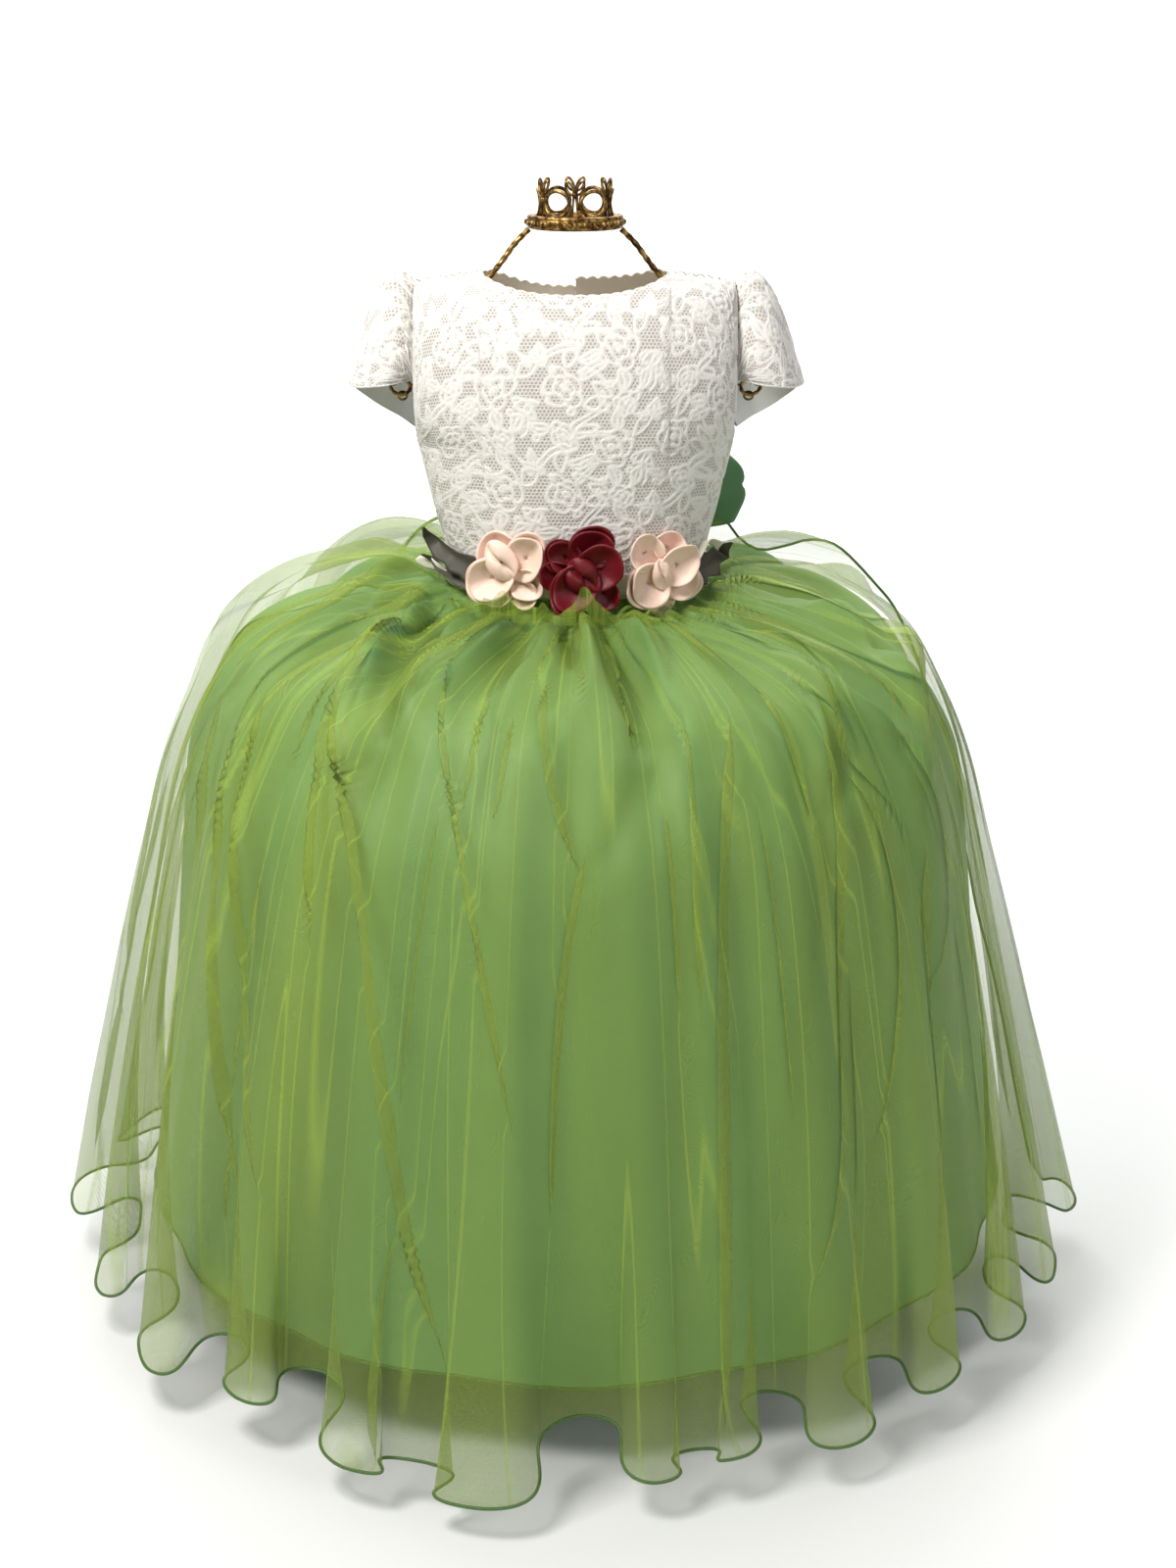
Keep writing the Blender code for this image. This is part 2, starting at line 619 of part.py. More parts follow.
def sleeve_grid(sign):
    """A cap sleeve: rows run round the armhole, columns from the seam out to the hem."""
    rows = []
    for step in range(SLEEVE_COLUMNS + 1):
        at = (len(SLEEVE_STRETCHES) - 1) * step / SLEEVE_COLUMNS
        rise = read(SLEEVE_STRETCHES, "rise", at)
        side = -1 if at < 4 else 1
        seam = bodice_high_point(side, 1.0, rise)
        seam.x = ARMHOLE_X + SEAM_GAP
        hem = Vector([read(SLEEVE_STRETCHES, column, at) for column in ("hem_x", "hem_y", "hem_z")])
        puff = read(SLEEVE_STRETCHES, "puff", at)
        out = (hem - seam)
        first = seam + Vector((0.30 * out.x + 0.2 * puff, 0.55 * out.y, puff))
        second = hem - Vector((0.22 * out.x, -0.05 * out.y, -0.30 * abs(out.z) - 0.5 * puff))
        line = []
        for k in range(SLEEVE_ROWS + 1):
            t = k / SLEEVE_ROWS
            point = (seam * (1 - t)**3 + first * (3 * t * (1 - t)**2)
                     + second * (3 * t**2 * (1 - t)) + hem * t**3)
            line.append(Vector((sign * max(point.x, ARMHOLE_X + SEAM_GAP), point.y, point.z)))
        rows.append(line)
    return rows


def add_sleeves():
    for name, sign in (("sleeve_left", -1), ("sleeve_right", 1)):
        def out(point, sign=sign):
            return point - Vector((sign * ARMHOLE_X, 0.005, 0.745))

        def clear_of_bodice(point, sign=sign):
            return Vector((sign * max(sign * point.x, ARMHOLE_X + SEAM_GAP), point.y, point.z))

        add_wall(name, sleeve_grid(sign), LACE_WALL, "ivory_lace", towards=out, limit=clear_of_bodice)


def front_share(turn):
    """1 across the front, where the skirts drop under the flowers, fading to 0 at the sides."""
    full, end = math.cos(math.radians(FRONT_FULL)), math.cos(math.radians(FRONT_END))
    share = min(1.0, max(0.0, (math.cos(turn) - end) / (full - end)))
    return share * share * (3 - 2 * share)


def skirt_point(kind, azimuth, level):
    """A point of a skirt's smooth form; kind is satin or tulle, azimuth in degrees."""
    turn = math.radians(azimuth)
    front = front_share(turn)
    side_z = read(SKIRT_LEVELS, kind + "_z", level)
    height = side_z + (read(SKIRT_LEVELS, kind + "_front_z", level) - side_z) * front
    waist = BODICE_SECTIONS[0]
    flattening = waist.half_width - oval(turn, waist.half_width, waist.front, waist.back)
    reach = read(SKIRT_LEVELS, kind + "_r", level) - flattening * read(SKIRT_LEVELS, "waist_share", level)
    return Vector((reach * math.sin(turn), -reach * math.cos(turn), height))


def skirt_out(azimuth, level, kind="satin"):
    """The outward normal of a skirt's smooth form."""
    step = 0.05
    low = skirt_point(kind, azimuth, min(level + step, len(SKIRT_LEVELS) - 1))
    high = skirt_point(kind, azimuth, max(level - step, 0))
    ahead = skirt_point(kind, azimuth + 1, level) - skirt_point(kind, azimuth - 1, level)
    return ahead.cross(high - low).normalized()


def trough_depth(azimuth, level):
    """How far the satin falls in between its folds."""
    depth = 0.0
    for trough in SATIN_TROUGHS:
        if not trough.first_level < level < trough.last_level:
            continue
        share = (level - trough.first_level) / (trough.last_level - trough.first_level)
        centre = trough.top_azimuth + (trough.low_azimuth - trough.top_azimuth) * share
        away = (azimuth - centre + 180) % 360 - 180
        depth += trough.depth * math.sin(math.pi * share**0.8)**2 * math.exp(-(away / trough.half_width)**2)
    return depth


def satin_point(azimuth, level):
    return skirt_point("satin", azimuth, level) - skirt_out(azimuth, level) * trough_depth(azimuth, level)


def add_underskirt():
    for name, start, side in (("underskirt_front", -90.0, -1), ("underskirt_back", 90.0, 1)):
        grid = []
        for level in range(len(SKIRT_LEVELS)):
            line = [satin_point(start + 180.0 * k / SATIN_COLUMNS, level) for k in range(SATIN_COLUMNS + 1)]
            for end in (line[0], line[-1]):
                end.y = 0.0
            grid.append(line)
        shift = (0, side * SEAM_GAP / 2, 0)
        add_wall(name, grid, SATIN_WALL, "green_satin", towards=skirt_side_out, shift=shift)


def skirt_side_out(point):
    return Vector((point.x, point.y, max(0.0, point.z - 0.45)))


def tulle_point(azimuth, level):
    point = skirt_point("tulle", azimuth, level)
    wave = read(SKIRT_LEVELS, "wave", level)
    if wave > 0:
        turn = math.radians(azimuth)
        reach = wave * read(HEM_TURNS, "reach", azimuth, "azimuth")
        drop = wave**2 * read(HEM_TURNS, "drop", azimuth, "azimuth")
        point += Vector((reach * math.sin(turn), -reach * math.cos(turn), -drop))
    return point


def add_overskirt():
    """The tulle lies round the front from its open right edge to the left side seam, and on to the back."""
    front, back = [], []
    for level in range(len(SKIRT_LEVELS)):
        right = read(SKIRT_LEVELS, "right_edge", level)
        left = read(SKIRT_LEVELS, "left_edge", level)
        front.append([tulle_point(-90.0 + (right + 90.0) * k / TULLE_FRONT_COLUMNS, level)
                      for k in range(TULLE_FRONT_COLUMNS + 1)])
        back.append([tulle_point(left + (-90.0 - left) * k / TULLE_BACK_COLUMNS, level)
                     for k in range(TULLE_BACK_COLUMNS + 1)])
        front[-1][0].y = 0.0
        back[-1][-1].y = 0.0
    for name, grid, side in (("overskirt_front", front, -1), ("overskirt_back", back, 1)):
        shift = (0, side * SEAM_GAP / 2, 0)
        add_wall(name, grid, TULLE_WALL, "green_tulle", towards=skirt_side_out, shift=shift)


def belt_point(side, across, height, lift):
    """A point that stands off the bodice's lower edge."""
    point = bodice_low_point(side, across, height)
    near = 0.01
    inner = max(-1.0, across - near)
    outer = min(1.0, across + near)
    along = bodice_low_point(side, outer, height) - bodice_low_point(side, inner, height)
    normal = Vector((along.y, -along.x, 0.0)).normalized()
    if abs(across) == 1.0:
        normal = Vector((across, 0.0, 0.0))
    elif normal.y * side < 0:
        normal = -normal
    return point + normal * lift


def add_belt():
    columns = [-across for across in reversed(BODICE_ACROSS[1:])] + list(BODICE_ACROSS)
    outer, inner = [], []
    for height in (BELT_LOW, BELT_HIGH):
        for grid, lift in ((outer, SEAM_GAP + RIBBON_WALL), (inner, SEAM_GAP)):
            ring = [belt_point(-1, across, height, lift) for across in columns]
            ring += [belt_point(1, across, height, lift) for across in reversed(columns[1:-1])]
            grid.append(ring)
    add_object("belt", *wall_parts(outer, inner, True), "cream_ribbon")


def flower_parts(flower):
    """A folded satin flower: outer petals, an inner cup and a bud, on a short flat calyx."""
    across = flower.x / BODICE_SECTIONS[1].half_width
    base = belt_point(-1, across, flower.z, SEAM_GAP * 2 + RIBBON_WALL)
    out = belt_point(-1, across, flower.z, 1.0) - belt_point(-1, across, flower.z, 0.0)
    right = Vector((-out.y, out.x, 0.0)).normalized()
    up = Vector((0.0, 0.0, 1.0))
    calyx = PetalRing(CALYX_SHARE, -flower.stand_off, 0.0, 0.0, 5)
    rings = (calyx,) + PETAL_RINGS
    points = []
    for ring in rings:
        for k in range(FLOWER_COLUMNS):
            turn = 2 * math.pi * k / FLOWER_COLUMNS
            lobe = abs(math.cos(ring.folds / 2 * (turn - math.radians(flower.turn))))**0.7
            size = flower.radius * ring.reach * (1 - ring.lobes * (1 - lobe))
            rise = flower.stand_off + ring.lift + ring.ripple * lobe
            point = base + right * (size * math.cos(turn)) + up * (size * math.sin(turn))
            points.append(point + out * rise)
    faces = []
    for i in range(len(rings) - 1):
        for k in range(FLOWER_COLUMNS):
            after = (k + 1) % FLOWER_COLUMNS
            faces.append([i * FLOWER_COLUMNS + k, i * FLOWER_COLUMNS + after,
                          (i + 1) * FLOWER_COLUMNS + after, (i + 1) * FLOWER_COLUMNS + k])
    faces.append(list(range(FLOWER_COLUMNS))[::-1])
    faces.append([(len(rings) - 1) * FLOWER_COLUMNS + k for k in range(FLOWER_COLUMNS)])
    return points, faces


def add_flowers():
    for flower in FLOWERS:
        add_object(flower.name, *flower_parts(flower), flower.material)


def add_leaves():
    """Jagged satin leaves that leave the belt under the outer flowers and lift towards their tips."""
    half = BODICE_SECTIONS[1].half_width
    steps = LEAF_TEETH * 2
    over_belt = 2 * SEAM_GAP + RIBBON_WALL + TULLE_WALL
    for leaf in LEAVES:
        side = math.copysign(1.0, leaf.root_x)
        grid = []
        for step in range(steps + 1):
            share = step / steps
            x = leaf.root_x + (leaf.tip_x - leaf.root_x) * share
            z = leaf.root_z + (leaf.tip_z - leaf.root_z) * share
            swell = 0.25 + math.sin(math.pi * (0.06 + 0.87 * share))
            tooth = LEAF_TIP if step == steps else 1.0 if step % 2 else LEAF_NOTCH
            lift = over_belt + leaf.tip_lift * share**1.5
            body_x = side * min(abs(x), half * 0.985)
            line = []
            for k in range(4):
                height = z + leaf.breadth * swell * tooth * (k / 1.5 - 1.0)
                point = belt_point(-1, body_x / half, height, lift)
                line.append(point + Vector((x - body_x, 0.0, 0.0)))
            grid.append(line)
        add_wall(leaf.name, grid, TULLE_WALL, "dark_satin", towards=from_axis)


def add_bow():
    seat = BODICE_SECTIONS[0].back + 2 * SEAM_GAP + RIBBON_WALL + SEAM_GAP
    centre = Vector((0.0, seat + KNOT_HALF.y, KNOT_Z))
    points, faces = turned_parts(KNOT_PROFILE, 14)
    knot = [centre + Vector((p.x * KNOT_HALF.x, p.y * KNOT_HALF.y, p.z * KNOT_HALF.z)) for p in points]
    add_object("bow_knot", knot, faces, "sash_satin")
    for side, sign in (("left", -1), ("right", 1)):
        add_bow_loop("bow_loop_" + side, sign)
        add_bow_tail("bow_tail_" + side, sign)


def add_bow_loop(name, sign):
    grid = []
    for step in range(BOW_LOOP_STEPS + 1):
        at = (len(BOW_LOOP) - 1) * step / BOW_LOOP_STEPS
        x, y, low, high = [read(BOW_LOOP, column, at) for column in ("x", "y", "low", "high")]
        grid.append([Vector((sign * x, y, low + (high - low) * k / 3)) for k in range(4)])

    def out(point):
        return point - Vector((sign * LOOP_MIDDLE[0], LOOP_MIDDLE[1], point.z))

    def clear_of_knot(point):
        return Vector((sign * max(sign * point.x, LOOP_START_X), point.y, point.z))

    add_wall(name, grid, RIBBON_WALL, "sash_satin", towards=out, limit=clear_of_knot)


def add_bow_tail(name, sign):
    """A tail that leaves the knot's foot and lies down the satin skirt's back."""
    lift = TAIL_LIFT + RIBBON_WALL
    grid = []
    knot_foot = KNOT_Z - KNOT_HALF.z - SEAM_GAP
    root_xs = [TAIL_ROOT_INNER_X + TAIL_ROOT_WIDTH * k / 3 for k in range(4)]
    for height, y in ((knot_foot, TAIL_ROOT_Y), (knot_foot - 0.0072, TAIL_ROOT_Y + 0.0015)):
        grid.append([Vector((sign * x, y, height)) for x in root_xs])
    for tail in BOW_TAIL:
        depth = abs(skirt_point("satin", 180.0, tail.level).y)
        line = []
        for k in range(4):
            x = tail.centre + tail.half_width * (k / 1.5 - 1.0)
            azimuth = 180.0 - math.degrees(math.atan2(sign * x, depth))
            line.append(skirt_point("satin", azimuth, tail.level) + skirt_out(azimuth, tail.level) * lift)
        grid.append(line)
    add_wall(name, grid, RIBBON_WALL, "sash_satin", towards=skirt_side_out)


def centre_back(height):
    """The point of the centre-back seam at a height over the underarm."""
    return bodice_high_point(1, 0.0, (height - UNDERARM_Z) / (shoulder_z(0.0) - UNDERARM_Z))


def add_zip():
    """A tape behind the back edges, and the slider with its tab at the top, outside."""
    side = BODICE_ACROSS[1]
    panel = bodice_grid(1, [-side, 0.0, side], NECK_BACK_LEFT)[:ZIP_ROWS]
    behind = moved(panel, grid_normals(panel, False, upper_body_out), -(LACE_WALL + 2 * SEAM_GAP))
    share = ZIP_TAPE_HALF / (side * ARMHOLE_X)
    grid = [[middle.lerp(left, share), middle, middle.lerp(right, share)] for left, middle, right in behind]
    add_wall("back_zip", grid, ZIP_TAPE_WALL, "zip_tape")
    top = centre_back(bodice_high_point(1, 0.0, BODICE_UPPER_RISES[4]).z - PULL_BELOW_NECK)
    low = centre_back(top.z - PULL_LENGTH)
    tab = []
    for layer in (0, 1):
        lift = Vector((0.0, 2 * SEAM_GAP + layer * PULL_THICKNESS, 0.0))
        for across, down in PULL_OUTLINE:
            tab.append(top.lerp(low, -down) + Vector((PULL_HALF_WIDTH * across, 0.0, 0.0)) + lift)
    count = len(PULL_OUTLINE)
    faces = [list(range(count)), [count + k for k in reversed(range(count))]]
    faces += [[k, count + k, count + (k + 1) % count, (k + 1) % count] for k in range(count)]
    add_object("zip_pull", tab, faces, "antique_brass", round_shading=False)


def add_form():
    add_object("form_stand", *turned_parts(FOOT_PROFILE, 20), "antique_brass")
    add_waist_ring()
    add_chest_frame()
    for name, sign in (("form_rod_left", -1), ("form_rod_right", 1)):
        add_rod(name, sign)
    add_neck()


def add_waist_ring():
    """The hub on the pole, four spokes and the oval ring that carries the cage."""
    pole_top = FOOT_PROFILE[-1][1]
    hub = turned_parts(((HUB_R, pole_top + SEAM_GAP), (HUB_R, RING_Z + HUB_RISE)), 12)
    ring = tube_parts(oval_path(RING_HALF_WIDTH, RING_FRONT, RING_BACK, RING_Z, 24), RING_WIRE_R, 5, True)
    parts = [ring, hub]
    height = Vector((0.0, 0.0, RING_Z - 0.0004))
    for azimuth in SPOKE_AZIMUTHS:
        turn = math.radians(azimuth)
        reach = oval(turn, RING_HALF_WIDTH, RING_FRONT, RING_BACK)
        ray = Vector((math.sin(turn), -math.cos(turn), 0.0))
        parts.append(tube_parts([ray * (HUB_R * 0.5) + height, ray * reach + height], WIRE_R, 5))
    fuse("form_waist_ring", parts, "antique_brass")


def ring_top():
    """Where a wire that stands on the waist ring begins."""
    return RING_Z + RING_WIRE_R + SEAM_GAP


def add_chest_frame():
    """The chest ring, with a rib in front and one behind that stand on the waist ring."""
    parts = [tube_parts(oval_path(CHEST_HALF_WIDTH, CHEST_FRONT, CHEST_BACK, CHEST_Z, 24), WIRE_R, 5, True)]
    for side, ring, chest in ((-1, RING_FRONT, CHEST_FRONT), (1, RING_BACK, CHEST_BACK)):
        bend = ring * 0.6 + chest * 0.4
        route = ((ring, ring_top()), (bend, RIB_BEND_Z), (chest, CHEST_Z))
        points = [Vector((0.0, side * y, z)) for y, z in route]
        parts.append(tube_parts(through(points, 5), WIRE_R, 5))
    fuse("form_chest_frame", parts, "antique_brass")


def shoulder_wire(x):
    """Where a rod's centre runs to carry the shoulder seam at a distance from the neck."""
    return shoulder_z(x) - LACE_WALL - SEAM_GAP - WIRE_R - 0.0002


def add_rod(name, sign):
    """A rod up the side and over the shoulder to the neck, with a scroll in the armhole."""
    route = [(RING_HALF_WIDTH, ring_top())] + list(ROD_SIDE)
    for x in ROD_SHOULDER_XS:
        route.append((x, shoulder_wire(x)))
    route += list(ROD_NECK)
    route.append(ROD_END)
    path = through([Vector((sign * x, 0.0, z)) for x, z in route], ROD_STEPS)
    scroll = []
    for k in range(SCROLL_STEPS + 1):
        share = k / SCROLL_STEPS
        turn = math.radians(SCROLL_START - SCROLL_SWEEP * share)
        size = SCROLL_R * (1 - (1 - SCROLL_INNER) * share)
        x = SCROLL_CENTRE[0] + size * 1.15 * math.cos(turn)
        scroll.append(Vector((sign * x, 0.0, SCROLL_CENTRE[1] + size * math.sin(turn))))
    root = Vector((sign * SCROLL_ROOT[0], 0.0, SCROLL_ROOT[1]))
    stem = [root, scroll[0] + (scroll[0] - scroll[1]) * 0.3] + scroll[1:]
    fuse(name, [tube_parts(path, WIRE_R, 5), tube_parts(stem, SCROLL_WIRE_R, 4)], "antique_brass")


def wire_loop(centre, along, radius, sides):
    """A closed upright loop of wire, a little wider than it is high."""
    path = []
    for step in range(sides):
        angle = 2 * math.pi * (step + 0.5) / sides
        up = Vector((0.0, 0.0, radius * math.sin(angle)))
        path.append(centre + along * (radius * 1.18 * math.cos(angle)) + up)
    return tube_parts(path, CROWN_WIRE_R, 4, True)


def add_neck():
    """The dish that closes the form's neck, with its crown of wire loops."""
    parts = [turned_parts(NECK_PROFILE, 18, True)]
    rows = ((0.5, CROWN_LOOP_R, CROWN_LOOP_Z, 8), (0.0, CROWN_BUD_R, CROWN_BUD_Z, 6))
    for k in range(CROWN_LOOPS):
        for shift, radius, height, sides in rows:
            turn = 2 * math.pi * (k + shift) / CROWN_LOOPS
            centre = Vector((CROWN_R * math.sin(turn), -CROWN_R * math.cos(turn), height))
            along = Vector((math.cos(turn), math.sin(turn), 0.0))
            parts.append(wire_loop(centre, along, radius, sides))
    fuse("form_neck", parts, "antique_brass")


def main():
    clear_scene()
    add_bodice()
    add_sleeves()
    add_underskirt()
    add_overskirt()
    add_belt()
    add_flowers()
    add_leaves()
    add_bow()
    add_zip()
    add_form()


main()
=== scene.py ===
"""Finishes and fine detail of a long party dress on its dress form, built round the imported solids."""

import math
from collections import namedtuple

import bpy
import numpy as np
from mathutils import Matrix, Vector
from mathutils.kdtree import KDTree


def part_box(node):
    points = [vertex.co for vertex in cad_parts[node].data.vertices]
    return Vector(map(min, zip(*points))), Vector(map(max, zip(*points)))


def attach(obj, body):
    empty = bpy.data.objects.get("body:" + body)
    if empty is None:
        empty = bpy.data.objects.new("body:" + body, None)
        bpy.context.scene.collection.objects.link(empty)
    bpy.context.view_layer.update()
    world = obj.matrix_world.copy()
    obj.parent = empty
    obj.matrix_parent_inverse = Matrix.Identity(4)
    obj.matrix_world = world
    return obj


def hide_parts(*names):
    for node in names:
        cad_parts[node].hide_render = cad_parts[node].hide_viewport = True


bl_info = {
    "name": "Long party dress",
    "version": (1, 0, 0),
    "blender": (4, 5, 0),
    "location": "3D View > Sidebar > Party dress",
    "description": "Dresses the packed solids of a long party dress in lace, satin, tulle and brass",
    "category": "Object",
}

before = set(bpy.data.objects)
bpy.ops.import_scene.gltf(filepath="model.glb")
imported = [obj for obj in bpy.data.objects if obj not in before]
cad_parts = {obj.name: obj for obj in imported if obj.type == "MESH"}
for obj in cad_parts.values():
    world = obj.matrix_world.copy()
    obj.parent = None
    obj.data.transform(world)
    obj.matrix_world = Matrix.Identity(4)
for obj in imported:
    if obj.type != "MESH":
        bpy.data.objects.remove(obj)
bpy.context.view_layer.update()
BODY = "root"

# Metres. +X is the viewer's right, -Y the front, +Z up. Azimuths are in degrees from the front,
# positive towards the viewer's right. Levels number the rows of the skirt table, waist to hem.
SEAM_GAP = 0.0003
LACE_WALL = 0.0014
RIBBON_WALL = 0.0011

UNDERARM_Z = 0.712
ARMHOLE_X = 0.1262
NECK_X = 0.073
NECK_FRONT = 0.060
NECK_BACK_LEFT = 0.062
NECK_BACK_RIGHT = 0.054
NECK_POINT_Z = 0.842
SHOULDER_END_Z = 0.834
BODY_ROUND = 2.3
SHOULDER_ROUND = 3.5
NECK_ROUND = 2.6

SECTION_HEIGHTS = (0.597, 0.620, 0.660, 0.690, 0.712)
SECTION_HALF_WIDTHS = (0.1035, 0.1045, 0.1140, 0.1210, 0.1262)
SECTION_FRONTS = (0.0790, 0.0800, 0.0830, 0.0850, 0.0860)
SECTION_BACKS = (0.0760, 0.0765, 0.0780, 0.0800, 0.0810)
WAIST_Z = SECTION_HEIGHTS[0]

ARMHOLE_RISES = (0.00, 0.12, 0.28, 0.48, 0.68, 0.84, 0.94, 1.00)
ARMHOLE_FRONTS = (0.000, 0.022, 0.034, 0.038, 0.034, 0.023, 0.012, 0.000)
ARMHOLE_BACKS = (0.000, 0.024, 0.038, 0.044, 0.040, 0.028, 0.014, 0.000)

# Skirt rows: satin radius, height, front height; tulle radius, height, front height; the share of
# the waist's oval that is left; the tulle's right and left edges; how much of the hem's wave shows.
SKIRT_ROWS = np.array((
    (0.1030, 0.5965, 0.5965, 0.1047, 0.5978, 0.5978, 1.00, 166.0, -166.0, 0.00),
    (0.1108, 0.5955, 0.5855, 0.1132, 0.5980, 0.5872, 1.30, 158.0, -160.0, 0.00),
    (0.1300, 0.5925, 0.5795, 0.1320, 0.6070, 0.5830, 0.95, 147.0, -155.0, 0.00),
    (0.1550, 0.5880, 0.5765, 0.1580, 0.6105, 0.5815, 0.85, 137.0, -150.0, 0.00),
    (0.1900, 0.5795, 0.5705, 0.1950, 0.6065, 0.5785, 0.65, 126.0, -148.0, 0.02),
    (0.2320, 0.5640, 0.5580, 0.2400, 0.5910, 0.5690, 0.40, 113.0, -147.0, 0.04),
    (0.2730, 0.5385, 0.5350, 0.2830, 0.5610, 0.5500, 0.20, 107.0, -146.0, 0.06),
    (0.3040, 0.5010, 0.4990, 0.3150, 0.5080, 0.5060, 0.08, 106.5, -146.0, 0.08),
    (0.3230, 0.4520, 0.4520, 0.3420, 0.4500, 0.4500, 0.00, 106.5, -146.0, 0.14),
    (0.3300, 0.3670, 0.3670, 0.3660, 0.3650, 0.3650, 0.00, 103.0, -146.0, 0.24),
    (0.3400, 0.2510, 0.2510, 0.3920, 0.2450, 0.2450, 0.00, 98.0, -146.0, 0.42),
    (0.3530, 0.1550, 0.1550, 0.4090, 0.1350, 0.1350, 0.00, 95.5, -146.0, 0.72),
    (0.3660, 0.0700, 0.0700, 0.4180, 0.0470, 0.0470, 0.00, 94.0, -146.0, 1.00),
)).T
(SATIN_R, SATIN_Z, SATIN_FRONT_Z, TULLE_R, TULLE_Z, TULLE_FRONT_Z, WAIST_SHARE, RIGHT_EDGE, LEFT_EDGE,
 WAVE) = range(10)
SATIN_FORM = (SATIN_R, SATIN_Z, SATIN_FRONT_Z)
TULLE_FORM = (TULLE_R, TULLE_Z, TULLE_FRONT_Z)
LAST_LEVEL = 12.0
# The front height holds fully up to the first of these azimuths and not at all past the second.
FRONT_FULL = 50.0
FRONT_END = 80.0

# How far the skirts sink at their sides, by level: more at the viewer's right than at the left.
SATIN_SINK = (0, 0, 0, 0.002, 0.005, 0.007, 0.007, 0.007, 0.006, 0.004, 0.002, 0, 0)
TULLE_SINK = (0, 0, 0, 0.005, 0.009, 0.012, 0.014, 0.016, 0.021, 0.024, 0.022, 0.016, 0.008)
LEFT_SINK_SHARE = 0.4

HEM_ROLL = 0.0013
FOLD_DEPTH = 2.3
DOUBLE_EASE = 0.16
TULLE_LIFT = 0.0026
HEM_SWAY = 0.78
SMALL_TULLE_FOLDS = 44
TULLE_NARROW = 0.62
FOLD_CROWD = 1.3
# How much a doubled fold is weakened where another one already crosses it.
CROSSING_LOSS = 0.85

# The tulle's wired hem: azimuth, how far it swings out (+) or in (-), and how much lower it hangs.
HEM_TURNS = np.array((
    (-152.0, -0.030, -0.012), (-146.0, -0.010, -0.004), (-139.0, 0.030, 0.016),
    (-131.0, -0.034, -0.014), (-123.0, 0.026, 0.012), (-115.0, -0.034, -0.016),
    (-107.0, 0.028, 0.014), (-98.5, -0.032, -0.012), (-87.0, 0.028, 0.004),
    (-77.0, -0.036, -0.014), (-67.5, 0.012, 0.008), (-58.5, -0.036, -0.014),
    (-49.0, 0.022, 0.010), (-42.5, -0.034, -0.014), (-36.5, 0.008, 0.004),
    (-30.0, -0.036, -0.014), (-21.5, 0.026, 0.014), (-15.5, 0.012, 0.008),
    (-8.5, 0.038, 0.020), (1.5, -0.034, -0.010), (8.0, 0.016, 0.014),
    (12.0, -0.002, 0.004), (16.5, 0.008, 0.008), (21.0, -0.034, -0.014),
    (27.5, 0.020, 0.012), (35.0, -0.036, -0.014), (41.5, 0.008, 0.008),
    (48.5, -0.036, -0.016), (55.5, 0.010, 0.008), (62.5, -0.036, -0.014),
    (70.0, 0.012, 0.008), (78.5, -0.036, -0.014), (87.0, 0.028, 0.006),
    (94.0, -0.004, -0.004), (104.0, -0.010, -0.004),
)).T

